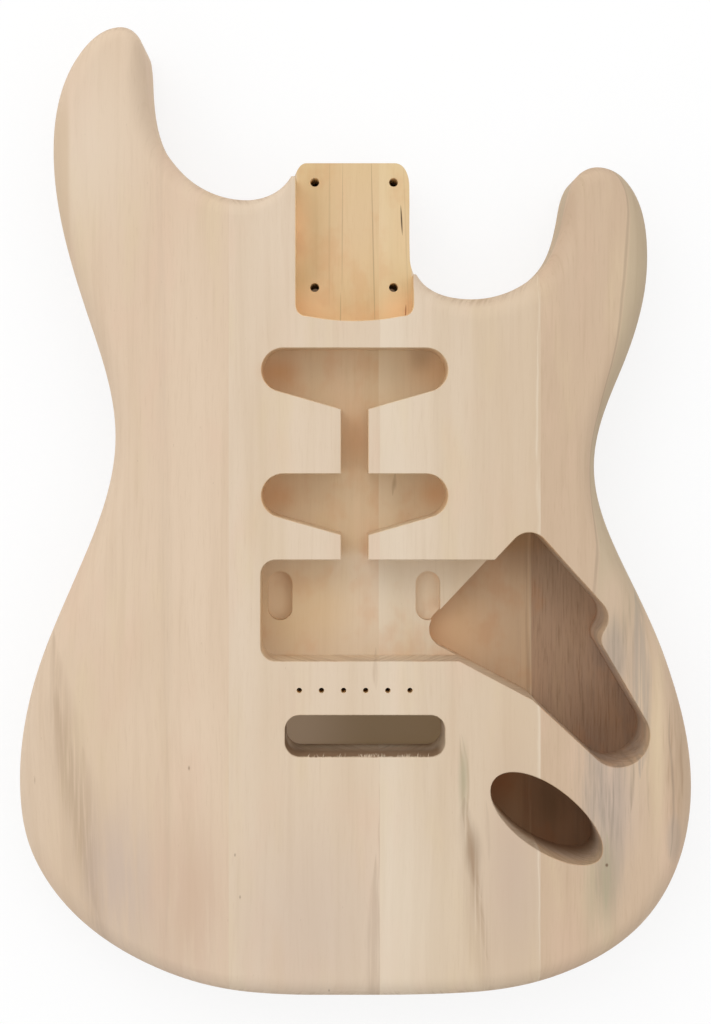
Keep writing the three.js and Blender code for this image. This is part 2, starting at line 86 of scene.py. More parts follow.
# Tremolo bridge
PIVOT_SETBACK = 174.6
PIVOT_SCREW_PITCH = 10.45
PIVOT_SCREW_COUNT = 6
PIVOT_SCREW_HOLE = 2.6
PIVOT_SCREW_DEPTH = 20
SLOT_SETBACK = 11.7
SLOT_OFFSET = 4.9
SLOT_LENGTH = 75.8
SLOT_WIDTH = 19.7
SLOT_CORNER = 7
SPRING_DEPTH = 16
SPRING_WIDTH = 57
SPRING_LENGTH = 110
SPRING_CORNER = 6.5
BLOCK_MARGIN = 3
BLOCK_SWING = 9

# Wire drillings
JACK_WIRE_HOLE = 8
JACK_WIRE_RUN = 7
JACK_WIRE_HEIGHT = 21
JACK_WIRE_ACROSS_SHARE = 0.303
EARTH_WIRE_HOLE = 4
EARTH_WIRE_RUN = 3
EARTH_WIRE_HIGH_END = 18
EARTH_WIRE_LOW_END = 4

# Fineness of the meshes
LONGEST_STEP = 4
TURN_STEP = 3
EDGE_FACETS = 10
TURN_SAMPLES = 9
ARC_STEP = 5
CURVE_STEPS = 12
JACK_STEPS = 72
DRILL_SIDES = 24
SURFACE_PITCH = 6
SMOOTH_ANGLE = 32

# How far the cuts, their broken edges and the rounded edge run on past the faces
OVERRUN = 5
ABOVE = BODY_THICKNESS + OVERRUN
BREAK_OVERRUN = 1
EDGE_PAST_SHARE = 0.08

# Sanding breaks the edges that the router leaves round each cavity
BROKEN_EDGE = 0.3

# Where the tips of the neck pocket's side walls are sanded off, up the body
BASS_TIP_Y = 159
TREBLE_TIP_Y = 112.9
TIP_INSET = 1
TIP_RADIUS = 1

# Fibres that the router tore along the slot's lower edge. Each clump is its middle across the body,
# its reach to either side and its count.
FIBRE_CLUMPS = [(-16, 6, 4), (-5.9, 2, 5), (9, 6, 34), (24, 3.5, 14), (33, 3, 4)]
FIBRE_SEED = 5
FIBRE_LENGTHS = (0.5, 2)
FIBRE_WIDTHS = (0.2, 0.5)
FIBRE_LEAN = 0.9
FIBRE_DROOP = 0.25
FIBRE_ROOT = 0.4

# Outline, anticlockwise from the tail. Each row: share of the width across, share of the length
# along, heading in degrees, and share of the full edge radius, which fades out round the heel.
HEEL_END_SHARE = 0.3637
OUTLINE_SHARES = [
    [-0.0550, -0.5000, 0, 1],
    [0.0350, -0.5000, 0, 1],
    [0.1680, -0.4975, 3.3, 1],
    [0.3060, -0.4785, 20.5, 1],
    [0.4245, -0.4275, 45.8, 1],
    [0.5000, -0.2830, 90, 1],
    [0.4610, -0.1500, 109.5, 1],
    [0.4040, -0.0610, 116, 1],
    [0.3565, 0.0470, 90, 1],
    [0.3930, 0.1410, 67, 1],
    [0.4350, 0.2620, 90, 1],
    [0.4000, 0.3440, 134, 1],
    [0.3600, 0.3560, 180, 1],
    [0.3257, 0.3417, -118, 1],
    [0.3125, 0.3080, -101, 1],
    [0.2785, 0.2509, -133.5, 1],
    [0.1750, 0.2203, 180, 1],
    [0.1077, 0.2330, 142, 0.75],
    [0.0850, 0.2640, 92, 0.25],
    [0.0842, 0.3400, 91, 0.15],
    [0.0620, HEEL_END_SHARE, 180, 0.15],
    [-0.0690, HEEL_END_SHARE, 180, 0.15],
    [-0.0929, 0.3423, -124.5, 0.2],
    [-0.1550, 0.3220, 180, 0.75],
    [-0.2562, 0.3535, 132.5, 1],
    [-0.2915, 0.3925, 110, 1],
    [-0.3045, 0.4437, 94, 1],
    [-0.3090, 0.4780, 100, 1],
    [-0.3420, 0.5000, 180, 1],
    [-0.4035, 0.4734, -126.5, 1],
    [-0.4433, 0.3730, -90, 1],
    [-0.3864, 0.1900, -71.3, 1],
    [-0.3518, 0.0780, -90, 1],
    [-0.4100, -0.0660, -113.5, 1],
    [-0.4760, -0.1834, -106.5, 1],
    [-0.5000, -0.2900, -90, 1],
    [-0.4911, -0.3446, -75, 1],
    [-0.4485, -0.4023, -52, 1],
    [-0.2963, -0.4752, -20, 1],
]
BASS_SEAM_SHARE = -0.1818
CENTER_SEAM_SHARE = 0.0389
TREBLE_SEAM_SHARE = 0.2733
FOREARM_LINE_SHARES = [(-0.431, -0.130), (-0.151, -0.4976)]
BELLY_CENTER_SHARES = (-0.352, 0.098)
CONTROL_CORNER_SHARES = {
    "top": (0.2569, -0.0407),
    "left": (0.1440, -0.1245),
    "knee": (0.2615, -0.1913),
    "end": (0.3864, -0.2277),
    "right": (0.3425, -0.1074),
}
JACK_CENTER_SHARES = (0.2825, -0.3132)


def place(shares):
    return Vector((shares[0] * BODY_WIDTH, shares[1] * BODY_LENGTH))


def polar(radius, angle):
    return Vector((radius * math.cos(angle), radius * math.sin(angle)))


def cross(a, b):
    return a.x * b.y - a.y * b.x


BASS_SEAM_X = BASS_SEAM_SHARE * BODY_WIDTH
CENTER_SEAM_X = CENTER_SEAM_SHARE * BODY_WIDTH
TREBLE_SEAM_X = TREBLE_SEAM_SHARE * BODY_WIDTH
POCKET_END_Y = HEEL_END_SHARE * BODY_LENGTH - POCKET_LENGTH
NECK_PICKUP_TOP = POCKET_END_Y - NECK_PICKUP_SETBACK
BRIDGE_PICKUP_TOP = NECK_PICKUP_TOP - PICKUP_PITCH - BRIDGE_PICKUP_PITCH
NECK_SCREW_MIDDLE_Y = POCKET_END_Y + NECK_SCREW_SETBACK + NECK_SCREW_SPACING_Y / 2
LEG_TOP = BRIDGE_PICKUP_TOP - LEG_SETBACK
PIVOT_Y = POCKET_END_Y - PIVOT_SETBACK
SLOT_TOP = PIVOT_Y - SLOT_SETBACK
SLOT_MIDDLE = CENTERLINE_X + SLOT_OFFSET
POCKET_FLOOR = BODY_THICKNESS - POCKET_DEPTH
PICKUP_FLOOR = BODY_THICKNESS - PICKUP_DEPTH
LEG_FLOOR = PICKUP_FLOOR - LEG_DEPTH
CONTROL_FLOOR = BODY_THICKNESS - CONTROL_DEPTH
JACK_FLOOR = BODY_THICKNESS - JACK_DEPTH
JACK_CENTER = place(JACK_CENTER_SHARES)
CONTROL_CORNERS = {name: place(shares) for name, shares in CONTROL_CORNER_SHARES.items()}

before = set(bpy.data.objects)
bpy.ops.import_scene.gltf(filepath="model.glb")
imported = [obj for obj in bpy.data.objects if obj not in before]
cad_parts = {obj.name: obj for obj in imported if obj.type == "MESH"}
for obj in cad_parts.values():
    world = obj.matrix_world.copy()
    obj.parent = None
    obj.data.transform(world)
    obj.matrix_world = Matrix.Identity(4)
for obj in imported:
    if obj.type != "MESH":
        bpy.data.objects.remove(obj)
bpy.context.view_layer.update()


# Meshes


def new_object(name, data):
    thing = bpy.data.objects.new(name, data)
    bpy.context.scene.collection.objects.link(thing)
    return thing


def mesh_object(name, points, faces):
    mesh = bpy.data.meshes.new(name)
    mesh.from_pydata([Vector(p) * MM for p in points], [], faces)
    return new_object(name, mesh)


def solid_through_rings(name, rings):
    """Solid through a stack of closed rings of points, all alike in number, with flat ends."""
    count = len(rings[0])
    faces = [list(range(count))[::-1]]
    for low in range(0, (len(rings) - 1) * count, count):
        for i in range(count):
            after = (i + 1) % count
            faces.append([low + i, low + after, low + count + after, low + count + i])
    faces.append(list(range((len(rings) - 1) * count, len(rings) * count)))
    return mesh_object(name, [p for ring in rings for p in ring], faces)


def bezier_point(span, share):
    a, b, c, d = span
    rest = 1 - share
    return rest ** 3 * a + 3 * rest ** 2 * share * b + 3 * rest * share ** 2 * c + share ** 3 * d


def bezier_tangent(span, share):
    a, b, c, d = span
    rest = 1 - share
    return (rest ** 2 * (b - a) + 2 * rest * share * (c - b) + share ** 2 * (d - c)).normalized()


def quadratic(start, control, end):
    """Points of a quadratic curve, without its last one"""
    shares = [i / CURVE_STEPS for i in range(CURVE_STEPS)]
    return [(1 - s) ** 2 * start + 2 * (1 - s) * s * control + s ** 2 * end for s in shares]


# Front and back surfaces


def forearm_cut(x, y):
    """Height taken off the front by the forearm slope, a plane that is eased in over a blend"""
    start, end = (place(shares) for shares in FOREARM_LINE_SHARES)
    outward = cross(Vector((x, y)) - start, (end - start).normalized())
    if outward <= 0:
        return 0
    if outward < FOREARM_BLEND:
        return FOREARM_SLOPE * outward * outward / (2 * FOREARM_BLEND)
    return FOREARM_SLOPE * (outward - FOREARM_BLEND / 2)


def front_height(x, y):
    return BODY_THICKNESS - forearm_cut(x, y)


def back_height(x, y):
    """Hollow for the ribs, deepest at the bass edge"""
    center = place(BELLY_CENTER_SHARES)
    room = 1 - (x - center.x) / BELLY_REACH - ((y - center.y) / BELLY_HALF_SPAN) ** 2
    return BELLY_DEPTH * room ** (3 / 2) if room > 0 else 0


def grid_line(stops):
    line = []
    for start, end in zip(stops, stops[1:]):
        steps = math.ceil((end - start) / SURFACE_PITCH)
        line += [start + (end - start) * step / steps for step in range(steps)]
    return line + [stops[-1]]


def surface_block():
    """Block between the back and front surfaces, larger all round than the outline"""
    side = BODY_WIDTH / 2 + OVERRUN
    end = BODY_LENGTH / 2 + OVERRUN
    xs = grid_line([-side, BASS_SEAM_X, CENTER_SEAM_X, TREBLE_SEAM_X, side])
    ys = grid_line([-end, end])
    points = [(x, y, height(x, y)) for height in (back_height, front_height) for y in ys for x in xs]
    layer = len(xs) * len(ys)
    last_x = len(xs) - 1
    last_y = len(ys) - 1
    faces = []
    for j in range(last_y):
        for i in range(last_x):
            a = j * len(xs) + i
            b = a + len(xs)
            faces.append([a, b, b + 1, a + 1])
            faces.append([layer + a, layer + a + 1, layer + b + 1, layer + b])
    rim = list(range(last_x))
    rim += [j * len(xs) + last_x for j in range(last_y)]
    rim += [last_y * len(xs) + i for i in range(last_x, 0, -1)]
    rim += [j * len(xs) for j in range(last_y, 0, -1)]
    for here, after in zip(rim, rim[1:] + rim[:1]):
        faces.append([here, after, layer + after, layer + here])
    return mesh_object("surface_block", points, faces)


# Outline with rounded edges


def outline_spans(rows):
    """Curves of the smooth closed outline through its rows, with the handles of circular arcs"""
    spans = []
    for here, after in zip(rows, rows[1:] + rows[:1]):
        turn = math.remainder(after["heading"] - here["heading"], math.tau)
        chord = (after["point"] - here["point"]).length
        reach = chord / (3 * math.cos(turn / 4) ** 2)
        leave = here["point"] + polar(reach, here["heading"])
        arrive = after["point"] - polar(reach, after["heading"])
        curve = (here["point"], leave, arrive, after["point"])
        spans.append({"curve": curve, "turn": turn, "chord": chord})
    return spans


def sharpest_turn(curve):
    """Sharpest outward turn of a span, in radians per millimetre"""
    stops = [i / TURN_SAMPLES for i in range(TURN_SAMPLES + 1)]
    turns = [0]
    for here, after in zip(stops, stops[1:]):
        step = (bezier_point(curve, after) - bezier_point(curve, here)).length
        turns.append(cross(bezier_tangent(curve, here), bezier_tangent(curve, after)) / step)
    return max(turns)


def outline_points():
    """Points round the outline as (point, inward normal, edge radius)"""
    rows = [
        {"point": place(row), "heading": math.radians(row[2]), "edge": row[3] * EDGE_RADIUS}
        for row in OUTLINE_SHARES]
    spans = outline_spans(rows)
    turns = [sharpest_turn(span["curve"]) for span in spans]
    edges = [
        1 / math.hypot(1 / row["edge"], max(turns[i - 1], turns[i])) for i, row in enumerate(rows)]
    edges.append(edges[0])
    points = []
    for i, span in enumerate(spans):
        bends = math.degrees(abs(span["turn"])) / TURN_STEP
        steps = math.ceil(max(bends, span["chord"] / LONGEST_STEP))
        for step in range(steps):
            share = step / steps
            tangent = bezier_tangent(span["curve"], share)
            edge = edges[i] * (1 - share) + edges[i + 1] * share
            points.append((bezier_point(span["curve"], share), Vector((-tangent.y, tangent.x)), edge))
    return points


def edge_profile():
    """Quarter circle of the rounded edge as (inset, drop), in edge radii, run on past the face"""
    angles = [i / EDGE_FACETS * math.pi / 2 for i in range(EDGE_FACETS)]
    profile = [(1 - math.cos(angle), 1 - math.sin(angle)) for angle in angles]
    inset, drop = profile[-1]
    return profile + [(1 + EDGE_PAST_SHARE, -EDGE_PAST_SHARE * drop / (1 - inset))]


def rounded_prism():
    points = outline_points()
    profile = edge_profile()

    def ring(step, height):
        inset, drop = step
        made = []
        for point, inward, edge in points:
            spot = point + inward * edge * inset
            made.append((spot.x, spot.y, height(spot.x, spot.y, edge * drop)))
        return made

    outermost = profile[-1]
    rings = [ring(outermost, lambda x, y, drop: -OVERRUN)]
    rings += [ring(step, lambda x, y, drop: back_height(x, y) + drop) for step in profile[::-1]]
    rings += [ring(step, lambda x, y, drop: front_height(x, y) - drop) for step in profile]
    rings.append(ring(outermost, lambda x, y, drop: ABOVE))
    return solid_through_rings("rounded_prism", rings)


# Cutters


def rounded_outline(corners):
    """Anticlockwise outline round corner circles, each (x, y, radius), joined by straight tangents.
    A negative radius is a corner of wood that stands into the cavity; zero is a sharp corner."""
    centers = [Vector((x, y)) for x, y, _ in corners]
    radii = [radius for _, _, radius in corners]
    headings = []
    for i, center in enumerate(centers):
        after = (i + 1) % len(corners)
        gap = centers[after] - center
        headings.append(math.atan2(gap.y, gap.x) + math.asin((radii[i] - radii[after]) / gap.length))
    points = []
    for i, (center, radius) in enumerate(zip(centers, radii)):
        if radius == 0:
            points.append(center)
            continue
        start = headings[i - 1] - math.copysign(math.pi / 2, radius)
        sweep = (headings[i] - headings[i - 1]) % math.tau
        if radius < 0:
            sweep -= math.tau
        steps = math.ceil(math.degrees(abs(sweep)) / ARC_STEP)
        points += [center + polar(abs(radius), start + sweep * s / steps) for s in range(steps + 1)]
    return points


def rectangle(left, right, bottom, top, radius):
    """Corner circles of a rectangle"""
    return [
        (left + radius, top - radius, radius),
        (left + radius, bottom + radius, radius),
        (right - radius, bottom + radius, radius),
        (right - radius, top - radius, radius),
    ]


def grown(outline, distance):
    """Outline moved outwards by a small distance"""
    made = []
    for i, point in enumerate(outline):
        before = (point - outline[i - 1]).normalized()
        after = (outline[(i + 1) % len(outline)] - point).normalized()
        middle = (before + after).normalized()
        outward = Vector((middle.y, -middle.x))
        made.append(point + outward * distance / max(before.dot(middle), 1 / 2))
    return made


def cutter(name, outline, low, high=ABOVE):
    """Straight cut through an outline. Where it comes out of a face, it breaks the edge."""
    def ring(distance, z):
        return [(p.x, p.y, z) for p in grown(outline, distance)]

    flare = BROKEN_EDGE + BREAK_OVERRUN
    rings = [ring(0, low)]
    if low < 0:
        rings = [ring(flare, -BREAK_OVERRUN), ring(0, BROKEN_EDGE)]
    if high > BODY_THICKNESS:
        rings += [ring(0, BODY_THICKNESS - BROKEN_EDGE), ring(flare, BODY_THICKNESS + BREAK_OVERRUN)]
    else:
        rings.append(ring(0, high))
    return solid_through_rings(name, rings)


def pocket(name, corners, low, high=ABOVE):
    return cutter(name, rounded_outline(corners), low, high)


def drill(name, start, end, diameter):
    """Round hole from one point to another"""
    start = Vector(start)
    end = Vector(end)
    turn = (end - start).to_track_quat("Z", "Y")
    circle = [polar(diameter / 2, math.tau * i / DRILL_SIDES) for i in range(DRILL_SIDES)]
    rings = [[middle + turn @ Vector((p.x, p.y, 0)) for p in circle] for middle in (start, end)]
    return solid_through_rings(name, rings)


def screw_hole(x, y, low, high, diameter):
    return drill("screw_hole", (x, y, low), (x, y, high), diameter)


def neck_pocket():
    top = BODY_LENGTH / 2
    shoulder = POCKET_END_Y + POCKET_END_BOW
    low_left = Vector((CENTERLINE_X - POCKET_WIDTH / 2, shoulder))
    low_right = Vector((CENTERLINE_X + POCKET_WIDTH / 2, shoulder))
    bow = Vector((CENTERLINE_X, POCKET_END_Y - POCKET_END_BOW))
    up = Vector((0, POCKET_CORNER_RADIUS))
    across = Vector((POCKET_CORNER_RADIUS, 0))
    outline = [
        Vector((low_right.x, top)),
        Vector((low_left.x, top)),
        *quadratic(low_left + up, low_left, low_left + across),
        *quadratic(low_left + across, bow, low_right - across),
        *quadratic(low_right - across, low_right, low_right + up),
        low_right + up,
    ]
    return cutter("neck_pocket", outline, POCKET_FLOOR)


def feather_tips():
    """Where the pocket's side walls run out to nothing in the cutaways, their tips are sanded away"""
    tips = []
    for side, start in ((-1, BASS_TIP_Y), (1, TREBLE_TIP_Y)):
        wall = CENTERLINE_X + side * POCKET_WIDTH / 2
        left, right = sorted((wall - side * TIP_INSET, wall + side * OVERRUN))
        corners = rectangle(left, right, start, start + 2 * OVERRUN, TIP_RADIUS)
        tips.append(pocket("feather_tip", corners, POCKET_FLOOR))
    return tips


def neck_screw_holes():
    return [
        screw_hole(
            CENTERLINE_X + side * NECK_SCREW_SPACING_X / 2,
            NECK_SCREW_MIDDLE_Y + end * NECK_SCREW_SPACING_Y / 2,
            -OVERRUN, POCKET_FLOOR + OVERRUN, NECK_SCREW_HOLE)
        for side in (-1, 1) for end in (-1, 1)]


def pickup_cavities():
    """The three pickup cavities and the channel that joins them, in one outline"""
    throat = CHANNEL_WIDTH / 2
    rows = [
        (throat, 0, 0),
        (PICKUP_LENGTH / 2 - PICKUP_END_RADIUS, PICKUP_END_RADIUS, PICKUP_END_RADIUS),
        (throat, PICKUP_HEIGHT, 0),
    ]

    def half_outline(side):
        corners = [
            (CENTERLINE_X + side * across, top - down, radius)
            for top in (NECK_PICKUP_TOP, NECK_PICKUP_TOP - PICKUP_PITCH)
            for across, down, radius in rows]
        return [*corners[1:], (CENTERLINE_X + side * throat, BRIDGE_PICKUP_TOP, 0)]

    left = CENTERLINE_X - BRIDGE_PICKUP_LENGTH / 2
    right = CONTROL_CORNERS["top"].x
    low = BRIDGE_PICKUP_TOP - BRIDGE_PICKUP_HEIGHT
    bridge = rectangle(left, right, low, BRIDGE_PICKUP_TOP, BRIDGE_PICKUP_CORNER)
    corners = [*half_outline(-1), *bridge, *half_outline(1)[::-1]]
    return pocket("pickup_cavities", corners, PICKUP_FLOOR)


def leg_pockets():
    radius = LEG_WIDTH / 2
    pockets = []
    for side in (-1, 1):
        middle = CENTERLINE_X + side * LEG_PITCH / 2
        ends = (LEG_TOP - radius, LEG_TOP - LEG_HEIGHT + radius)
        corners = [(middle, y, radius) for y in ends]
        pockets.append(pocket("leg_pocket", corners, LEG_FLOOR, PICKUP_FLOOR + OVERRUN))
    return pockets


def control_cavity():
    def at(name, radius=CONTROL_CORNER_RADIUS):
        return (*CONTROL_CORNERS[name], radius)

    notch_reach = CONTROL_CORNER_RADIUS + CONTROL_NOTCH_CLEARANCE + CONTROL_NOTCH_RADIUS
    notch = CONTROL_CORNERS["right"] + polar(notch_reach, math.radians(CONTROL_NOTCH_ANGLE))
    corners = [
        at("top"), at("left"), at("knee", 0), at("end", CONTROL_END_RADIUS),
        (*notch, -CONTROL_NOTCH_RADIUS), at("right"),
    ]
    return pocket("control_cavity", corners, CONTROL_FLOOR)


def jack_cavity():
    """An ellipse whose upper end is blunter than its lower one"""
    lean = math.radians(JACK_ANGLE)
    outline = []
    for i in range(JACK_STEPS):
        angle = i / JACK_STEPS * math.tau
        along = JACK_HALF_LENGTH * math.cos(angle)
        across = JACK_HALF_WIDTH * math.sin(angle) * (1 - JACK_EGG_SHARE * math.cos(angle))
        outline.append(JACK_CENTER + polar(along, lean) + polar(across, lean + math.pi / 2))
    return cutter("jack_cavity", outline, JACK_FLOOR)


def pivot_screw_holes():
    middle = (PIVOT_SCREW_COUNT - 1) / 2
    return [
        screw_hole(
            CENTERLINE_X + (i - middle) * PIVOT_SCREW_PITCH, PIVOT_Y,
            BODY_THICKNESS - PIVOT_SCREW_DEPTH, ABOVE, PIVOT_SCREW_HOLE)
        for i in range(PIVOT_SCREW_COUNT)]


def tremolo_slot():
    reach = SLOT_LENGTH / 2
    corners = rectangle(
        SLOT_MIDDLE - reach, SLOT_MIDDLE + reach, SLOT_TOP - SLOT_WIDTH, SLOT_TOP, SLOT_CORNER)
    return pocket("tremolo_slot", corners, SPRING_DEPTH - OVERRUN)


def spring_cavity():
    spring_side = SPRING_WIDTH / 2
    spring_top = SLOT_TOP + SPRING_LENGTH - SPRING_CORNER
    block_side = SLOT_LENGTH / 2 + BLOCK_MARGIN - SPRING_CORNER
    block_top = SLOT_TOP + BLOCK_MARGIN
    block_low = SLOT_TOP - SLOT_WIDTH - BLOCK_SWING + SPRING_CORNER

    def half_outline(side):
        return [
            (CENTERLINE_X + side * (spring_side - SPRING_CORNER), spring_top, SPRING_CORNER),
            (CENTERLINE_X + side * spring_side, block_top, 0),
            (SLOT_MIDDLE + side * block_side, block_top - SPRING_CORNER, SPRING_CORNER),
            (SLOT_MIDDLE + side * block_side, block_low, SPRING_CORNER),
        ]

    corners = [*half_outline(-1), *half_outline(1)[::-1]]
    return pocket("spring_cavity", corners, -OVERRUN, SPRING_DEPTH)


def wire_holes():
    """From the control cavity to the jack's, and down on a slant to the spring cavity"""
    across = JACK_WIRE_ACROSS_SHARE * BODY_WIDTH
    knee = CONTROL_CORNERS["knee"]
    tip = CONTROL_CORNERS["left"]
    control_wall = tip.x - CONTROL_CORNER_RADIUS
    spring_wall = CENTERLINE_X + SPRING_WIDTH / 2
    return [
        drill(
            "jack_wire_hole", (across, knee.y - JACK_WIRE_RUN, JACK_WIRE_HEIGHT),
            (across, JACK_CENTER.y, JACK_WIRE_HEIGHT), JACK_WIRE_HOLE),
        drill(
            "earth_wire_hole", (control_wall + EARTH_WIRE_RUN, tip.y, EARTH_WIRE_HIGH_END),
            (spring_wall - EARTH_WIRE_RUN, tip.y, EARTH_WIRE_LOW_END), EARTH_WIRE_HOLE),
    ]


def boolean(thing, other, operation):
    modifier = thing.modifiers.new(other.name, "BOOLEAN")
    modifier.object = other
    modifier.operation = operation
    modifier.solver = "MANIFOLD"
    modifier.material_mode = "TRANSFER"


def applied_mesh(thing):
    graph = bpy.context.evaluated_depsgraph_get()
    return bpy.data.meshes.new_from_object(thing.evaluated_get(graph))


def remove(things):
    for thing in things:
        bpy.data.objects.remove(thing)


def body_blank():
    """The whole body with its cuts. Its second material marks the routed and drilled faces."""
    sanded = bpy.data.materials.new("sanded_mark")
    routed = bpy.data.materials.new("routed_mark")
    body = rounded_prism()
    block = surface_block()
    tips = feather_tips()
    cutters = [
        neck_pocket(), *tips, *neck_screw_holes(), pickup_cavities(), *leg_pockets(), control_cavity(),
        jack_cavity(), *pivot_screw_holes(), tremolo_slot(), spring_cavity(), *wire_holes(),
    ]
    for thing in [body, block, *cutters]:
        mark = sanded if thing in (body, block, *tips) else routed
        thing.data.materials.append(mark)
    boolean(body, block, "INTERSECT")
    for thing in cutters:
        boolean(body, thing, "DIFFERENCE")
    mesh = applied_mesh(body)
    remove([body, block, *cutters])
    return mesh


def add_torn_fibres(mesh, start, end):
    """Thin slivers over the slot, rooted in its lower wall, in the plank from start to end"""
    dice = random.Random(FIBRE_SEED)
    root = SLOT_TOP - SLOT_WIDTH - FIBRE_ROOT
    look = mesh.materials.find("sanded_mark")
    made = bmesh.new()
    made.from_mesh(mesh)
    for middle, reach, count in FIBRE_CLUMPS:
        for _ in range(count):
            x = middle + dice.uniform(-reach, reach)
            z = BODY_THICKNESS - BROKEN_EDGE - dice.uniform(0, BROKEN_EDGE)
            width = dice.uniform(*FIBRE_WIDTHS)
            length = dice.uniform(*FIBRE_LENGTHS)
            lean = dice.uniform(-FIBRE_LEAN, FIBRE_LEAN) * length
            droop = dice.uniform(-FIBRE_DROOP * length, 0)
            if not start + width < x < end - width:
                continue
            points = [
                (x - width / 2, root, z),
                (x + width / 2, root, z),
                (x, root, z - width),
                (x + lean, root + FIBRE_ROOT + length, z + droop),
            ]
            corners = [made.verts.new(Vector(point) * MM) for point in points]
            for side in ((0, 1, 2), (0, 3, 1), (1, 3, 2), (2, 3, 0)):
                face = made.faces.new([corners[i] for i in side])
                face.material_index = look
    made.to_mesh(mesh)
    made.free()


def plank(name, whole, start, end, sanded, routed):
    """One plank: the part of the body between two seams"""
    thing = new_object(name, whole.copy())
    reach = BODY_LENGTH
    slab = solid_through_rings(name + "_slab", [
        [(start, -reach, z), (end, -reach, z), (end, reach, z), (start, reach, z)]
        for z in (-OVERRUN, ABOVE)])
    slab.data.materials.append(whole.materials[0])
    boolean(thing, slab, "INTERSECT")
    mesh = applied_mesh(thing)
    thing.modifiers.clear()
    thing.data = mesh
    remove([slab])
    add_torn_fibres(mesh, start, end)
    looks = {"sanded_mark": sanded, "routed_mark": routed}
    for index, mark in enumerate(mesh.materials):
        mesh.materials[index] = looks[mark.name]
    mesh.shade_smooth()
    mesh.set_sharp_from_angle(angle=math.radians(SMOOTH_ANGLE))
    weighted = thing.modifiers.new("weighted_normals", "WEIGHTED_NORMAL")
    weighted.keep_sharp = True
    return thing


# Materials


def linear(red, green, blue):
    """Colour written as sRGB, 0 to 255, as the shader's linear colour"""
    def one(value):
        share = value / 255
        return share / 12.92 if share <= 0.04045 else ((share + 0.055) / 1.055) ** 2.4

    return (one(red), one(green), one(blue), 1)


class Nodes:
    """A tree of nodes, with short names for those that the wood and the light are made of"""

    def __init__(self, tree):
        self.tree = tree

    def fill(self, node, inputs):
        """Links a node's inputs to the sockets given, or sets them to the values given"""
        for key, value in inputs.items():
            if isinstance(value, bpy.types.NodeSocket):
                self.tree.links.new(value, node.inputs[key])
            else:
                node.inputs[key].default_value = value

    def add(self, kind, inputs=None, **settings):
        """Outputs of a new node"""
        node = self.tree.nodes.new(kind)
        for key, value in settings.items():
            setattr(node, key, value)
        self.fill(node, inputs or {})
        return node.outputs

    def math(self, operation, *values):
        return self.add("ShaderNodeMath", dict(enumerate(values)), operation=operation)[0]

    def gap(self, first, second):
        return self.math("ABSOLUTE", self.math("SUBTRACT", first, second))

    def hypotenuse(self, first, second):
        squares = [self.math("POWER", side, 2) for side in (first, second)]
        return self.math("SQRT", self.math("ADD", *squares))

    def overlap(self, mask, *others):
        """Product of masks"""
        for other in others:
            mask = self.math("MULTIPLY", mask, other)
        return mask

    def ramp(self, value, start, end, low=0, high=1):
        """Low at start, high at end, eased between"""
        inputs = {"Value": value, "From Min": start, "From Max": end, "To Min": low, "To Max": high}
        return self.add("ShaderNodeMapRange", inputs, interpolation_type="SMOOTHSTEP")[0]

    def seen_directly(self):
        """1 for rays that the camera, a mirror or glass sees, 0 for light that bounces"""
        path = self.add("ShaderNodeLightPath")
        seen = self.math("MAXIMUM", path["Is Camera Ray"], path["Is Glossy Ray"])
        return self.math("MAXIMUM", seen, path["Is Transmission Ray"])


# Streaks wander sideways from their straight course, and break up into strands. At their points
# they keep a hundredth of their width.
WANDER_CELL = (14, 34, 14)
WANDER_SEED = 9
WANDER_REACH = 5
STRAND_CELL = (1.1, 40, 6)
STRAND_EDGES = (0.2, 0.6)
THINNEST = 0.01


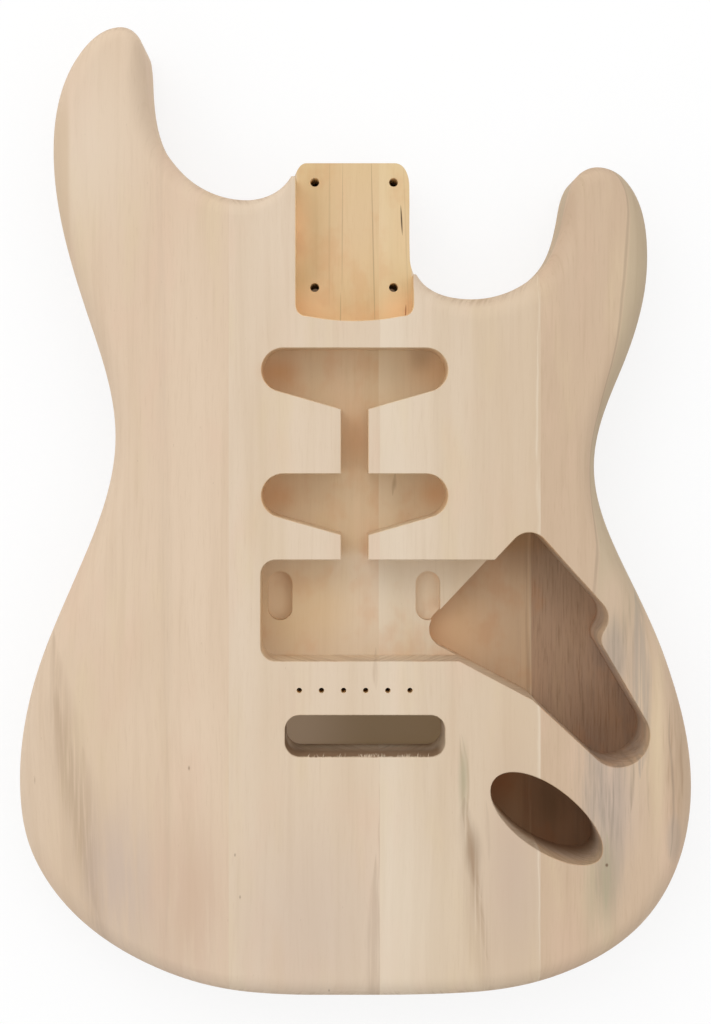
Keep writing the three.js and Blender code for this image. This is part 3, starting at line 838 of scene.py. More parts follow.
class Shade(Nodes):
    """One material's nodes"""

    def __init__(self, name):
        self.material = bpy.data.materials.new(name)
        self.material.use_nodes = True
        super().__init__(self.material.node_tree)
        self.shader = self.tree.nodes["Principled BSDF"]
        given = self.add("ShaderNodeTexCoord")
        inputs = {0: given["Object"], "Scale": 1 / MM}
        self.spot = self.add("ShaderNodeVectorMath", inputs, operation="SCALE")[0]
        self.x, self.y, self.z = self.add("ShaderNodeSeparateXYZ", {0: self.spot})
        self.normal_y = self.add("ShaderNodeSeparateXYZ", {0: given["Normal"]})["Y"]
        drift = self.math("SUBTRACT", self.noise(*WANDER_CELL, WANDER_SEED), 1 / 2)
        self.wandering_x = self.math("MULTIPLY_ADD", drift, WANDER_REACH, self.x)
        self.strands = self.ramp(self.noise(*STRAND_CELL, WANDER_SEED), *STRAND_EDGES)

    def noise(self, across, along, depth, seed, detail=2, roughness=0.5, spot=None):
        """Noise with cells of these lengths in millimetres across, along and into the board"""
        place = (seed, seed / 3, seed / 7)
        scale = (1 / across, 1 / along, 1 / depth)
        inputs = {"Vector": spot or self.spot, "Location": place, "Scale": scale}
        mapped = self.add("ShaderNodeMapping", inputs)[0]
        inputs = {"Vector": mapped, "Scale": 1, "Detail": detail, "Roughness": roughness}
        return self.add("ShaderNodeTexNoise", inputs)[0]

    def deeper(self, start, end):
        """0 above the first depth below the front face, 1 below the second"""
        return self.ramp(self.z, BODY_THICKNESS - start, BODY_THICKNESS - end)

    def mix(self, share, first, second, blend="MIX"):
        inputs = {0: share, 6: first, 7: second}
        return self.add("ShaderNodeMix", inputs, data_type="RGBA", blend_type=blend)[2]

    def times(self, color, target):
        return self.mix(1, color, target, "MULTIPLY")

    def stain(self, color, mask, target):
        """Colour multiplied by another one where the mask is"""
        return self.mix(mask, color, self.times(color, target))

    def tinted(self, color, marks):
        """Colour with marks laid over it, each (mask, strength, colour, more masks that it lies in)"""
        for mask, strength, target, *within in marks:
            color = self.mix(self.overlap(mask, *within, strength), color, target)
        return color

    def line(self, start, end, half_width, softness=1):
        """Straight streak along the grain, neither wandering nor broken up"""
        return self.blade(start, end, half_width, 0, softness, True)

    def blade(self, start, end, half_width, bend=0, softness=1, straight=False):
        """Streak along the grain from one point to another, widest in the middle and pointed at
        both ends. Its middle stands off to the side by bend. Softness 1 fades right from its core."""
        middle = (start[1] + end[1]) / 2
        reach = abs(start[1] - end[1]) / 2
        lean = (start[0] - end[0]) / (start[1] - end[1])
        offset = self.math("SUBTRACT", self.y, middle)
        along = self.math("DIVIDE", offset, reach)
        taper = self.math("SUBTRACT", 1, self.math("MULTIPLY", along, along))
        center = self.math("MULTIPLY_ADD", offset, lean, (start[0] + end[0]) / 2)
        if bend:
            center = self.math("MULTIPLY_ADD", taper, bend, center)
        across = self.x if straight else self.wandering_x
        away = self.gap(across, center)
        width = self.math("MULTIPLY", self.math("MAXIMUM", taper, THINNEST), half_width)
        near = self.ramp(self.math("DIVIDE", away, width), 1, 1 - softness)
        near = near if straight else self.overlap(near, self.strands)
        return self.overlap(near, self.math("GREATER_THAN", taper, 0))

    def blot(self, center, half_width, half_height, softness=1):
        """Soft ellipse"""
        across = self.math("DIVIDE", self.math("SUBTRACT", self.x, center[0]), half_width)
        along = self.math("DIVIDE", self.math("SUBTRACT", self.y, center[1]), half_height)
        return self.ramp(self.hypotenuse(across, along), 1, 1 - softness)

    def oblong(self, center, half_width, half_height):
        """1 inside a rectangle, 0 outside"""
        across = self.math("LESS_THAN", self.gap(self.x, center[0]), half_width)
        along = self.math("LESS_THAN", self.gap(self.y, center[1]), half_height)
        return self.overlap(across, along)


# Colours of the bare wood and of its figure
PINK_WOOD = linear(222, 191, 167)
GOLD_WOOD = linear(220, 199, 164)
MAUVE_WOOD = linear(196, 176, 164)
ROSE_WOOD = linear(206, 176, 152)
BROWN_SHADE = linear(170, 144, 118)
TAN_WOOD = linear(206, 180, 150)
GREY_BROWN = linear(158, 138, 118)
BROWN = linear(150, 118, 88)
DARK_BROWN = linear(104, 78, 56)
SPALT_GREY = linear(166, 152, 139)
STREAK_GREY = linear(128, 115, 98)
GREEN_GREY = linear(172, 164, 136)
SLATE = linear(163, 150, 146)
OLIVE = linear(112, 96, 62)
SCORCHED = linear(208, 152, 104)
AMBER_AND_PAINTED_LIGHT = linear(246, 208, 161)
APRICOT = linear(240, 190, 143)
HONEY_WOOD = linear(214, 178, 132)
BUFF = linear(248, 217, 180)
# Painted light for the floors of the leg pockets
LEG_PAINTED_LIGHT = linear(250, 224, 190)
# Painted light for the walls of the screw holes
HOLE_PAINTED_LIGHT = linear(253, 228, 188)
CRACK = linear(70, 50, 34)
PALE_WOOD = linear(236, 223, 204)
RED_CRACK = linear(140, 66, 34)
POCKET_TINT = linear(255, 245, 222)
HONEY_TINT = linear(255, 245, 214)


def bass_outer_figure(shade, color):
    blot = shade.blot
    blade = shade.blade
    drifts = shade.ramp(shade.noise(7, 60, 20, 61, 3, 0.6), 0.25, 0.6)
    return shade.tinted(color, [
        (blot((-110, -170), 70, 90), 0.3, TAN_WOOD),
        (blade((-143, -55), (-117, -220), 14, -1), 0.34, BROWN_SHADE),
        (blade((-141, -80), (-121, -195), 8, -2), 0.24, BROWN_SHADE),
        (blade((-128, -110), (-124, -180), 8, 1), 0.16, BROWN_SHADE),
        (blot((-112, -172), 30, 56), 0.55, MAUVE_WOOD, drifts),
        (blot((-90, -200), 60, 70), 0.2, MAUVE_WOOD),
        (blot((-128, 175), 42, 66), 0.3, PALE_WOOD),
        (blot((-146, 152), 34, 62, 0.5), 0.6, TAN_WOOD, shade.ramp(shade.x, -132.8, -135.6)),
        (blot((-76, -185), 24, 70), 0.7, ROSE_WOOD, drifts),
        (blade((-92, -120), (-90, -250), 8), 0.25, ROSE_WOOD),
        (blade((-92, 215), (-88, -215), 5, 1), 0.08, GREY_BROWN),
        (blot((-77.6, -120.5), 0.7, 1.6), 0.6, DARK_BROWN),
        (blot((-152, -128), 0.6, 3), 0.35, BROWN),
    ])


def neck_pocket_figure(shade, outside, plain):
    """Marks that are seen only in the neck pocket, which is yellower and more amber round its edges,
    the amber partly painted light
    """
    blot = shade.blot
    line = shade.line
    honey = shade.math("SUBTRACT", 1, blot((CENTERLINE_X + 4, 140), 34, 52))
    color = shade.times(plain, shade.mix(honey, POCKET_TINT, HONEY_TINT))
    marks = [
        # Amber round the pocket's edges: partly the wood's colour, partly painted light against the
        # walls' shade
        (blot((-27.5, 136), 11, 34), 0.8, AMBER_AND_PAINTED_LIGHT),
        (blot((-22, 98), 20, 18), 0.8, AMBER_AND_PAINTED_LIGHT),
        (blot((21, 97), 14, 14), 0.75, AMBER_AND_PAINTED_LIGHT),
        (blot((0, 90), 32, 13), 0.4, AMBER_AND_PAINTED_LIGHT),
        (line((-4.9, 172), (-5.3, 104), 0.5), 0.26, DARK_BROWN),
        (line((-5.9, 106), (-6.1, 84), 0.5), 0.32, DARK_BROWN),
        (line((8.6, 180), (10.9, 78), 0.5), 0.36, DARK_BROWN),
        (line((-11.2, 176), (-11.5, 96), 0.8), 0.14, DARK_BROWN),
        (line((24, 178), (27.4, 82), 0.6), 0.12, DARK_BROWN),
        (line((23.1, 148), (23.9, 133), 0.5, 0.6), 0.9, CRACK),
        (line((25.6, 100), (25.4, 93), 0.4, 0.6), 0.8, RED_CRACK),
    ]
    in_pocket = shade.math("GREATER_THAN", shade.y, POCKET_END_Y - NECK_PICKUP_SETBACK / 2)
    return shade.mix(in_pocket, outside, shade.tinted(color, marks))


def bass_center_figure(shade, color):
    blot = shade.blot
    blade = shade.blade
    return shade.tinted(color, [
        (blot((-35, 67), 14, 9), 0.4, SCORCHED),
        (blot((-36, 6), 12, 10), 0.25, SCORCHED),
        (blade((10.6, -160), (9.6, -270), 5, 0, 0.8), 0.34, BROWN_SHADE),
        (blade((12.4, -112), (12.6, -210), 0.8), 0.16, BROWN),
        (blade((11, -66), (11.6, -84), 1.6), 0.25, BROWN),
        (blot((-20, -195), 60, 80), 0.34, MAUVE_WOOD),
        (blot((-55.9, -161.5), 0.6, 1.3), 0.55, DARK_BROWN),
        (blot((-53.5, -181.4), 0.6, 1.3), 0.55, DARK_BROWN),
        (blot((-11.5, -226.2), 0.6, 1.3), 0.55, DARK_BROWN),
    ])


def treble_center_figure(shade, color):
    blot = shade.blot
    blade = shade.blade
    return shade.tinted(color, [
        (blot((39, 8), 9, 9), 0.35, SCORCHED),
        (blade((20.6, 19), (20.4, 7), 1.5), 0.5, BROWN),
        (blot((20.4, 13), 1.5, 4), 0.4, BROWN),
        (blade((50.2, -104), (52.8, -150), 1.2, -0.5), 0.34, BROWN),
        (blade((50.8, -104), (52.9, -150), 1.1, 1.6), 0.3, BROWN),
        (blot((52, -125), 3.6, 24), 0.75, GREEN_GREY),
        (blot((56.8, -160), 5.4, 17), 0.75, GREY_BROWN),
        (blade((52, -134), (60.6, -182), 7, -0.8), 0.4, GREY_BROWN),
        (blade((53.6, -142), (60, -178), 3.4, -0.4), 0.36, BROWN),
        (blade((56, -156), (63.4, -212), 3.4, -1), 0.3, BROWN),
        (blade((56.4, -164), (62, -196), 1.6, -0.6), 0.2, DARK_BROWN),
        (blade((54, -150), (67, -240), 11, -1.5), 0.26, BROWN),
        (blade((62, -135), (64.6, -165), 1.6), 0.3, GREY_BROWN),
        (shade.ramp(shade.x, 24, 84), 0.32, TAN_WOOD),
        (shade.ramp(shade.x, 34, 14), 0.3, PALE_WOOD),
        (blot((73, -165), 20, 130), 0.6, TAN_WOOD),
        (blot((76, -170), 24, 80), 0.4, MAUVE_WOOD),
        (blot((30, -190), 26, 80), 0.25, PALE_WOOD),
        (blade((70, 90), (73, -30), 6), 0.2, TAN_WOOD),
        (blade((87.3, 130), (87.5, -240), 1.2), 0.4, PALE_WOOD),
    ])


def treble_outer_figure(shade, color):
    blot = shade.blot
    blade = shade.blade
    bands = shade.ramp(shade.noise(8, 64, 16, 31, 3, 0.6), 0.28, 0.68)
    streaks = shade.ramp(shade.noise(1.3, 30, 8, 37, 3, 0.6), 0.44, 0.74)
    color = shade.tinted(color, [
        (blot((123, -36), 11, 20), 0.5, PINK_WOOD),
        (blot((143.5, -112), 6, 64), 0.55, GOLD_WOOD),
        (blot((123.5, -67), 8, 23, 0.7), 0.5, SPALT_GREY),
        (blade((134, -36), (136, -126), 7, 1, 0.6), 0.6, SPALT_GREY),
        (blot((127, -62), 13, 34), 0.5, SPALT_GREY, bands),
        (blot((122, -138), 20, 40), 0.5, MAUVE_WOOD),
        (blot((117, -128), 17, 44), 0.9, SPALT_GREY, bands),
        (blot((124, -165), 10, 40), 0.5, SPALT_GREY, bands),
        (blot((117, -178), 12, 40), 0.6, GREEN_GREY, bands),
        (blot((118, -172), 8, 26), 0.26, GREY_BROWN),
        (blot((121, -115), 24, 90), 0.5, SPALT_GREY, streaks),
        (blot((117, -135), 17, 64), 0.4, STREAK_GREY, streaks),
        (blot((127, -62), 13, 40), 0.36, STREAK_GREY, streaks),
        (blade((131.6, -112), (131.4, -142), 1.8, 0.4), 0.4, STREAK_GREY),
        (blade((139.4, -88), (139.8, -146), 1, -0.4), 0.3, GREY_BROWN),
        (blot((154, -118), 7, 50), 0.3, BROWN_SHADE),
        (blot((151, -126), 6, 40), 0.5, BROWN, bands),
        (blot((150, -122), 8, 46), 0.5, BROWN, streaks),
        (blade((149.6, -90), (149.8, -164), 1.3, 0.5), 0.6, GREY_BROWN),
        (blade((155.2, -104), (155, -136), 1.1), 0.4, BROWN),
        (blot((151.5, -154), 5, 15, 0.6), 0.4, SPALT_GREY),
        (blot((100, -205), 14, 36), 0.3, PINK_WOOD),
        (blade((119.6, -150), (119.4, -188), 3), 0.5, GREEN_GREY),
        (blot((119.6, -166.3), 1, 1.2, 0.7), 0.8, DARK_BROWN),
    ])
    return outer_sheet(shade, color)


# The dark line along the treble edge is the cut through a thin sheet of colour that leans outwards
# from the back to the front. Wood outside it is greener. Both end towards the tail.
SHEET_LOW = (113.8, -36)
SHEET_HIGH = (127.7, 112)
SHEET_LEAN = 2.1
SHEET_SWAY = 3
SHEET_EDGES = (1.1, 0.2)
SHEET_FADE = 2
SHEET_END = (-70, -20)


def outer_sheet(shade, color):
    slope = (SHEET_HIGH[0] - SHEET_LOW[0]) / (SHEET_HIGH[1] - SHEET_LOW[1])
    on_face = shade.math("MULTIPLY_ADD", shade.y, slope, SHEET_LOW[0] - slope * SHEET_LOW[1])
    depth = shade.math("SUBTRACT", BODY_THICKNESS, shade.z)
    sheet = shade.math("MULTIPLY_ADD", depth, -SHEET_LEAN, on_face)
    drift = shade.math("SUBTRACT", shade.noise(18, 45, 18, 5), 1 / 2)
    beyond = shade.math("MULTIPLY_ADD", drift, SHEET_SWAY, shade.math("SUBTRACT", shade.x, sheet))
    upper = shade.ramp(shade.y, *SHEET_END)
    return shade.tinted(color, [
        (shade.ramp(beyond, 0, SHEET_FADE), 0.35, GREEN_GREY, upper),
        (shade.ramp(shade.math("ABSOLUTE", beyond), *SHEET_EDGES), 0.45, GREY_BROWN, upper),
    ])


# Slack for faces that lie at the height of a floor
FLOOR_SLACK = 1
# Widths of the strips on both sides of the treble seam, where the cavities' floors differ
SEAM_STRIPS = (10, 9)
# Depths at which the treble outer plank's wood turns greyer, and where its fine hairs end, between
# the control and the jack's cavities
GREY_DEPTHS = (4, 16)
HAIRS_END = (-134, -124)


def below_legs(shade):
    """1 in the control and the jack's cavities, below the floors of all the others"""
    return shade.math("LESS_THAN", shade.z, LEG_FLOOR - FLOOR_SLACK)


def bass_center_inside(shade, color, grain, seed):
    """The pickup cavities are more orange at their ends and in the channel between them"""
    blot = shade.blot
    return shade.tinted(color, [
        (blot((-40, 66), 22, 18), 0.22, APRICOT),
        (blot((-40, 8), 24, 18), 0.22, APRICOT),
        (blot((CENTERLINE_X, 34), 10, 24), 0.2, APRICOT),
        (blot((-28, -46), 42, 36, 0.8), 0.55, HONEY_WOOD),
    ])


def treble_center_inside(shade, color, grain, seed):
    """The control cavity's floor is lighter and more amber towards its left tip, and the jack's is
    golden at its upper end"""
    blot = shade.blot
    low = below_legs(shade)
    jack = JACK_CENTER
    tip = CONTROL_CORNERS["left"]
    top = CONTROL_CORNERS["top"]
    streaks = shade.ramp(shade.noise(1.8, 60, 8, seed + 67, 3, 0.6), 0.4, 0.65)
    near_seam = shade.ramp(shade.x, TREBLE_SEAM_X - SEAM_STRIPS[0], TREBLE_SEAM_X)
    return shade.tinted(color, [
        (blot((jack.x - 20, jack.y + 12), 18, 20), 0.5, SCORCHED, low),
        (blot((jack.x - 4, jack.y), 7, 24), 0.3, RED_CRACK, low),
        (blot((38, 68), 20, 16), 0.24, APRICOT),
        (blot((33, 74), 9, 10), 0.3, BROWN),
        (blot((40, 8), 20, 16), 0.16, APRICOT),
        (blot(top, 20, 20), 0.4, BROWN, low),
        (blot((tip.x - 6, tip.y - 2), 38, 34), 0.8, BUFF, low),
        (near_seam, 0.4, GREY_BROWN, streaks, low),
    ])


def treble_outer_inside(shade, color, grain, seed):
    """Below the face this plank is greyer, with fine dark hairs, and browner at both ends of the
    control cavity. The jack's floor is a dark olive brown."""
    blot = shade.blot
    low = below_legs(shade)
    jack = JACK_CENTER
    end = CONTROL_CORNERS["end"]
    top = CONTROL_CORNERS["top"]
    inside = shade.deeper(*GREY_DEPTHS)
    bands = shade.ramp(shade.noise(7, 80, 16, seed + 59, 2, 0.6), 0.4, 0.7)
    hairs = shade.ramp(shade.noise(0.7, 15, 4, seed + 23, 3, 0.65, grain), 0.44, 0.7)
    pale_hairs = shade.ramp(shade.noise(1, 24, 4, seed + 61, 3, 0.6, grain), 0.48, 0.74)
    near_seam = shade.ramp(shade.x, TREBLE_SEAM_X + SEAM_STRIPS[1], TREBLE_SEAM_X)
    in_control = shade.ramp(shade.y, *HAIRS_END)
    return shade.tinted(color, [
        (inside, 0.42, SLATE),
        (bands, 0.16, STREAK_GREY, inside),
        (hairs, 0.3, DARK_BROWN, in_control, inside),
        (pale_hairs, 0.3, MAUVE_WOOD, inside),
        (near_seam, 0.4, TAN_WOOD, pale_hairs, inside),
        (blot(top, 20, 20), 0.3, BROWN, inside),
        (blot(end, 26, 30), 0.3, BROWN, inside),
        (blot((jack.x + 6, jack.y - 2), 14, 20), 0.36, OLIVE, low),
    ])


# Floors of the deepest cavities are painted a little darker and browner, as painted shade
DEEP_PAINTED_SHADE = linear(232, 218, 206)
DEEP_SHADE_DEPTHS = (24, 31)
# The upper two pickup cavities and their channel are yellower than the bridge pickup's
UPPER_TINT = linear(255, 249, 237)
UPPER_EDGE = (-24, -16)
# The jack's cavity is painted darker between these depths, as painted shade
JACK_PAINTED_SHADE = linear(210, 195, 179)
JACK_SHADE_DEPTHS = (11, 27)
# The slot's walls get painted shade from just below the rim, where it starts raggedly, down to these
# depths. Most of the painted shade is missing at the right end.
SLOT_PAINTED_SHADE = linear(176, 158, 142)
SHADE_START = (2.2, 0.8)
SHADE_RAG = 5
SLOT_SHADE_DEPTHS = (22, 10)
SHADE_MISSING = 0.8
# Slack round the screw holes, and round the jack's cavity as a share of it
HOLE_SLACK = 0.1
JACK_SLACK = 0.01
# How far the growth rings sway
RING_SWAY = 9
# Finish of the bare wood. The lines of the grain stand out more than its fibres.
WOOD_FINISH = {"Roughness": 0.75, "Specular IOR Level": 0.25}
BUMP = {"Strength": 0.25, "Distance": 0.05 * MM}
LINE_RELIEF = 2


def slot_walls(shade):
    """1 on the upper walls of the slot for the bridge's block, darkened with painted shade but for
    their rim and their right end"""
    middle = (SLOT_MIDDLE, SLOT_TOP - SLOT_WIDTH / 2)
    near = shade.oblong(middle, SLOT_LENGTH / 2 + BLOCK_MARGIN, SLOT_WIDTH / 2 + BLOCK_SWING)
    ragged = shade.math("MULTIPLY_ADD", shade.noise(2, 4, 40, 51), SHADE_RAG, shade.z)
    below_rim = shade.ramp(ragged, *(BODY_THICKNESS + above for above in SHADE_START))
    upper = shade.deeper(*SLOT_SHADE_DEPTHS)
    right = SLOT_MIDDLE + SLOT_LENGTH / 2
    at_right = shade.ramp(shade.x, right - SLOT_CORNER / 2, right)
    shaded = shade.math("MULTIPLY_ADD", at_right, -SHADE_MISSING, 1)
    return shade.overlap(near, below_rim, upper, shaded)


def hole_walls(shade):
    """1 in the drilled screw holes, whose fresh walls are painted nearly white: painted light that
    keeps the deep holes from showing dark
    """
    across = shade.gap(shade.gap(shade.x, CENTERLINE_X), NECK_SCREW_SPACING_X / 2)
    along = shade.gap(shade.gap(shade.y, NECK_SCREW_MIDDLE_Y), NECK_SCREW_SPACING_Y / 2)
    far = shade.math("MAXIMUM", across, along)
    neck = shade.math("LESS_THAN", far, NECK_SCREW_HOLE / 2 + HOLE_SLACK)
    below = shade.math("LESS_THAN", shade.z, POCKET_FLOOR - HOLE_SLACK)
    reach = PIVOT_SCREW_COUNT / 2 * PIVOT_SCREW_PITCH
    row = shade.oblong((CENTERLINE_X, PIVOT_Y), reach, PIVOT_SCREW_HOLE)
    return shade.math("MAXIMUM", shade.overlap(neck, below), row)


def leg_floors(shade):
    """1 on the floors of the two pockets for the bridge pickup's legs, which get painted light against
    their shade
    """
    middle = LEG_TOP - LEG_HEIGHT / 2
    bass, treble = (
        shade.oblong((CENTERLINE_X + side * LEG_PITCH / 2, middle), LEG_WIDTH / 2, LEG_HEIGHT / 2)
        for side in (-1, 1))
    on_floor = shade.math("LESS_THAN", shade.gap(shade.z, LEG_FLOOR), FLOOR_SLACK)
    return shade.overlap(shade.math("MAXIMUM", bass, treble), on_floor)


def jack_bottom(shade):
    """1 where the jack's cavity gets its painted shade: on the floor and the lower walls, 0 on the
    upper walls
    """
    reach = JACK_HALF_LENGTH + OVERRUN
    near = shade.blot(JACK_CENTER, reach, reach, JACK_SLACK)
    return shade.overlap(near, shade.deeper(*JACK_SHADE_DEPTHS))


def growth_rings(shade, pith, seed):
    """The board's own coordinates: distance from the tree's middle, length along it, and depth"""
    far = shade.hypotenuse(
        shade.math("SUBTRACT", shade.x, pith[0]), shade.math("SUBTRACT", shade.z, pith[1]))
    drift = shade.math("SUBTRACT", shade.noise(60, 240, 60, seed + 11), 1 / 2)
    ring = shade.math("MULTIPLY_ADD", drift, RING_SWAY, far)
    return shade.add("ShaderNodeCombineXYZ", {0: ring, 1: shade.y, 2: shade.z})[0]


def bare_wood(shade, look, seed, grain, lines, fibres):
    """Colour of straight-grained pale wood"""
    broad = shade.noise(20, 420, 200, seed, 2, 0.5, grain)
    threads = shade.noise(1.2, 34, 14, seed + 13, 2, 0.6, grain)
    blush = shade.noise(26, 70, 35, seed + 7, 3, 0.55)
    gilt = shade.noise(18, 85, 30, seed + 17, 3, 0.55)
    shadow = shade.noise(48, 170, 60, seed + 29, 2, 0.5)
    flecks = shade.noise(0.7, 3.5, 2, seed + 31, 2, 0.6, grain)
    color = shade.mix(shade.ramp(broad, 0.3, 0.7), look["base"], look["warm"])
    return shade.tinted(color, [
        (shade.ramp(blush, 0.5, 0.75), 0.4, PINK_WOOD),
        (shade.ramp(gilt, 0.5, 0.75), 0.4, GOLD_WOOD),
        (shade.ramp(shadow, 0.5, 0.75), 0.3, TAN_WOOD),
        (shade.ramp(lines, 0.45, 0.8), 0.25, look["dark"]),
        (shade.ramp(threads, 0.5, 0.85), 0.26, look["dark"]),
        (shade.ramp(fibres, 0.5, 0.85), 0.28, look["dark"]),
        (shade.ramp(flecks, 0.74, 0.82), 0.4, BROWN),
    ])


def routed_wood(shade, color, look, seed, grain):
    """The same wood in the cavities, fresher from the router, and warmer in part as painted light for
    the warm light that the walls throw on each other
    """
    if "inside" in look:
        color = look["inside"](shade, color, grain, seed)
    outside = shade.times(color, look["inner"])
    outside = shade.stain(outside, shade.ramp(shade.y, *UPPER_EDGE), UPPER_TINT)
    color = shade.tinted(neck_pocket_figure(shade, outside, color), [
        # Painted light on the leg pockets' floors
        (leg_floors(shade), 0.45, LEG_PAINTED_LIGHT),
        (shade.ramp(shade.noise(16, 22, 10, seed + 41, 3, 0.6), 0.5, 0.7), 0.22, SCORCHED),
    ])
    # Painted shade on the deepest floors
    color = shade.stain(color, shade.deeper(*DEEP_SHADE_DEPTHS), DEEP_PAINTED_SHADE)
    # Painted shade on the slot's walls
    color = shade.stain(color, slot_walls(shade), SLOT_PAINTED_SHADE)
    # Painted shade in the jack's cavity
    color = shade.stain(color, jack_bottom(shade), JACK_PAINTED_SHADE)
    # Painted light in the screw holes
    return shade.tinted(color, [(hole_walls(shade), 0.95, HOLE_PAINTED_LIGHT)])


def with_end_grain(shade, color, seed, grain):
    """Rings and pores where the surface cuts across the grain"""
    end_grain = shade.ramp(shade.math("ABSOLUTE", shade.normal_y), 0.5, 0.95)
    rings = shade.ramp(shade.noise(1.6, 400, 40, seed + 47, 3, 0.6, grain), 0.4, 0.7)
    pores = shade.ramp(shade.noise(0.5, 60, 0.5, seed + 53, 1), 0.55, 0.75)
    return shade.tinted(color, [
        (end_grain, 0.12, GREY_BROWN),
        (end_grain, 0.35, BROWN, rings),
        (end_grain, 0.3, BROWN, pores),
    ])


def wood(name, look, routed=False):
    """One plank's wood, as sanded or as routed"""
    shade = Shade(name)
    seed = look["seed"]
    grain = growth_rings(shade, look["pith"], seed)
    lines = shade.noise(4, 130, 60, seed + 3, 2, 0.6, grain)
    fibres = shade.noise(0.5, 9, 2, seed + 5, 2, 0.6, grain)
    color = look["figure"](shade, bare_wood(shade, look, seed, grain, lines, fibres))
    if routed:
        color = routed_wood(shade, color, look, seed, grain)
    color = with_end_grain(shade, color, seed, grain)
    height = shade.math("MULTIPLY_ADD", lines, LINE_RELIEF, fibres)
    bump = shade.add("ShaderNodeBump", {"Height": height, **BUMP})[0]
    shade.fill(shade.shader, {"Base Color": color, "Normal": bump, **WOOD_FINISH})
    return shade.material


# Each plank's ends across the body, its colours, the seed of its noises, the middle of its tree
# across the body and below the back, and its marks
PLANKS = [
    {
        "name": "bass_outer", "start": -BODY_WIDTH, "end": BASS_SEAM_X,
        "base": linear(223, 200, 175), "warm": linear(218, 194, 168), "dark": linear(200, 173, 144),
        "inner": linear(255, 246, 233), "seed": 3, "pith": (-280, -50),
        "figure": bass_outer_figure,
    },
    {
        "name": "bass_center", "start": BASS_SEAM_X, "end": CENTER_SEAM_X,
        "base": linear(223, 203, 180), "warm": linear(218, 197, 172), "dark": linear(203, 178, 149),
        "inner": linear(255, 254, 249), "seed": 19, "pith": (130, -60),
        "figure": bass_center_figure, "inside": bass_center_inside,
    },
    {
        "name": "treble_center", "start": CENTER_SEAM_X, "end": TREBLE_SEAM_X,
        "base": linear(222, 203, 180), "warm": linear(214, 193, 167), "dark": linear(199, 174, 144),
        "inner": linear(255, 255, 252), "seed": 43, "pith": (-110, -40),
        "figure": treble_center_figure, "inside": treble_center_inside,
    },
    {
        "name": "treble_outer", "start": TREBLE_SEAM_X, "end": BODY_WIDTH,
        "base": linear(210, 185, 159), "warm": linear(204, 178, 151), "dark": linear(181, 153, 125),
        "inner": linear(255, 250, 242), "seed": 71, "pith": (300, -70),
        "figure": treble_outer_figure, "inside": treble_outer_inside,
    },
]


def build_planks():
    whole = body_blank()
    for look in PLANKS:
        name = look["name"]
        sanded = wood(name + "_sanded", look)
        routed = wood(name + "_routed", look, routed=True)
        piece = plank("fine_" + name + "_plank", whole, look["start"], look["end"], sanded, routed)
        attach(piece, "root")
        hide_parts(name + "_plank")


# Floor, light and camera

FLOOR_DROP = 0.2
FLOOR_REACH = 2500
FLOOR_COLOR = (0.98, 0.98, 0.98, 1)
FLOOR_GLOW = 0.78
WHITE = (1, 1, 1, 1)
# Under the slot and the neck's screw holes the floor glows only as much as the brown light that wood
# throws on it would make it. Under the slot it is lighter at the bass end.
SLOT_GLOW_BASS = (0.24, 0.162, 0.1, 1)
SLOT_GLOW = (0.163, 0.1, 0.045, 1)
SLOT_GLOW_CHANGE = (-30, 10)
HEEL_GLOW = (0.16, 0.1, 0.06, 1)
SLOT_SHADE_REACH = (60, 30)
HEEL_SHADE_REACH = (24, 36)


def floor():
    shade = Shade("pale_floor")
    shade.fill(shade.shader, {"Base Color": FLOOR_COLOR, "Roughness": 1, "Specular IOR Level": 0})
    in_slot = shade.oblong((SLOT_MIDDLE, SLOT_TOP - SLOT_WIDTH / 2), *SLOT_SHADE_REACH)
    in_heel = shade.oblong((CENTERLINE_X, POCKET_END_Y + POCKET_LENGTH / 2), *HEEL_SHADE_REACH)
    slot_glow = shade.mix(shade.ramp(shade.x, *SLOT_GLOW_CHANGE), SLOT_GLOW_BASS, SLOT_GLOW)
    color = shade.mix(in_heel, shade.mix(in_slot, WHITE, slot_glow), HEEL_GLOW)
    glow = shade.add("ShaderNodeEmission", {"Color": color})[0]
    share = shade.math("MULTIPLY", shade.seen_directly(), FLOOR_GLOW)
    mixed = shade.add("ShaderNodeMixShader", {0: share, 1: shade.shader.outputs[0], 2: glow})[0]
    shade.fill(shade.tree.nodes["Material Output"], {"Surface": mixed})
    reach = FLOOR_REACH
    corners = [(-reach, -reach), (reach, -reach), (reach, reach), (-reach, reach)]
    plane = mesh_object("floor", [(x, y, -FLOOR_DROP) for x, y in corners], [[0, 1, 2, 3]])
    plane.data.materials.append(shade.material)


# The studio is darker straight overhead, where the camera is, and near the horizon. Most of the soft
# light comes in between, at a slant, and more of it from the neck and the bass side.
OVERHEAD_LIGHT = 0.52
SLANTED_LIGHT = 1.28
OVERHEAD_EDGE = (0.93, 0.75)
HORIZON_EDGE = (0.15, 0.45)
KEY_STRENGTH = 7.5
LIGHT_LEAN = (-0.12, 0.3, 0)
KEY_SIZE = 2.2
KEY_DISTANCE = 2.2
KEY_TILT = 55
KEY_TURN = 28


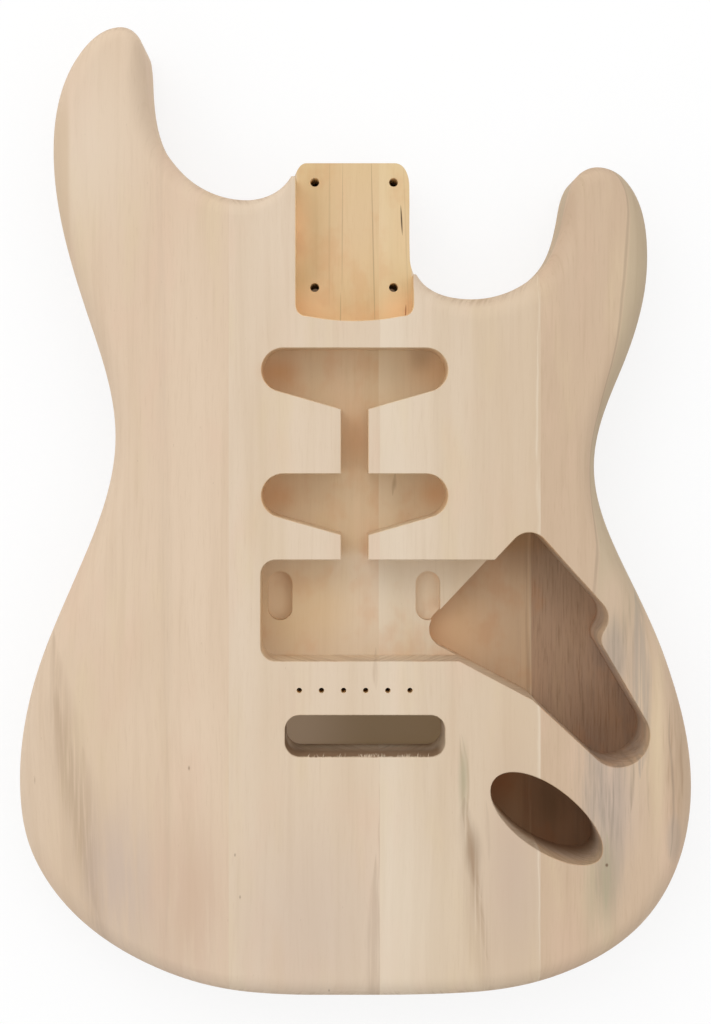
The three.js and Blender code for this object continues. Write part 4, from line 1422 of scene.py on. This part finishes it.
def world_light():
    world = bpy.context.scene.world or bpy.data.worlds.new("soft_world")
    bpy.context.scene.world = world
    world.use_nodes = True
    nodes = Nodes(world.node_tree)
    direction = nodes.add("ShaderNodeTexCoord")["Generated"]
    height = nodes.add("ShaderNodeSeparateXYZ", {0: direction})["Z"]
    high = nodes.ramp(height, *OVERHEAD_EDGE, OVERHEAD_LIGHT, SLANTED_LIGHT)
    ring = nodes.overlap(high, nodes.ramp(height, *HORIZON_EDGE))
    aim = {0: direction, 1: LIGHT_LEAN}
    lean = nodes.add("ShaderNodeVectorMath", aim, operation="DOT_PRODUCT")["Value"]
    light = nodes.math("MULTIPLY_ADD", ring, lean, ring)
    strength = nodes.ramp(nodes.seen_directly(), 0, 1, light, 1)
    nodes.fill(nodes.tree.nodes["Background"], {"Color": WHITE, "Strength": strength})


def key_light():
    lamp = bpy.data.lights.new("key", "AREA")
    lamp.shape = "DISK"
    lamp.size = KEY_SIZE
    lamp.energy = KEY_STRENGTH
    key = new_object("key", lamp)
    key.rotation_euler = Euler((-math.radians(KEY_TILT), 0, math.radians(KEY_TURN)))
    key.location = key.rotation_euler.to_matrix() @ Vector((0, 0, KEY_DISTANCE))


# The camera looks straight down. Its place, its focal length and the pixel right below it were found
# from how far the cavities' floors shift against the face.
PICTURE_WIDTH = 711
PICTURE_HEIGHT = 1024
CAMERA_X = -10.1
CAMERA_Y = 37.2
CAMERA_Z = 725
FOCAL_PIXELS = 1440.7
FOOT_POINT_X = 332
FOOT_POINT_Y = 434
SENSOR = 36


def camera():
    lens = bpy.data.cameras.new("camera")
    lens.sensor_width = SENSOR
    lens.lens = FOCAL_PIXELS / PICTURE_HEIGHT * SENSOR
    lens.shift_x = (PICTURE_WIDTH / 2 - FOOT_POINT_X) / PICTURE_HEIGHT
    lens.shift_y = (FOOT_POINT_Y - PICTURE_HEIGHT / 2) / PICTURE_HEIGHT
    eye = new_object("camera", lens)
    eye.location = (CAMERA_X * MM, CAMERA_Y * MM, CAMERA_Z * MM)
    bpy.context.scene.camera = eye


camera()
world_light()
key_light()
floor()
build_planks()

bpy.context.scene.view_settings.view_transform = "Standard"
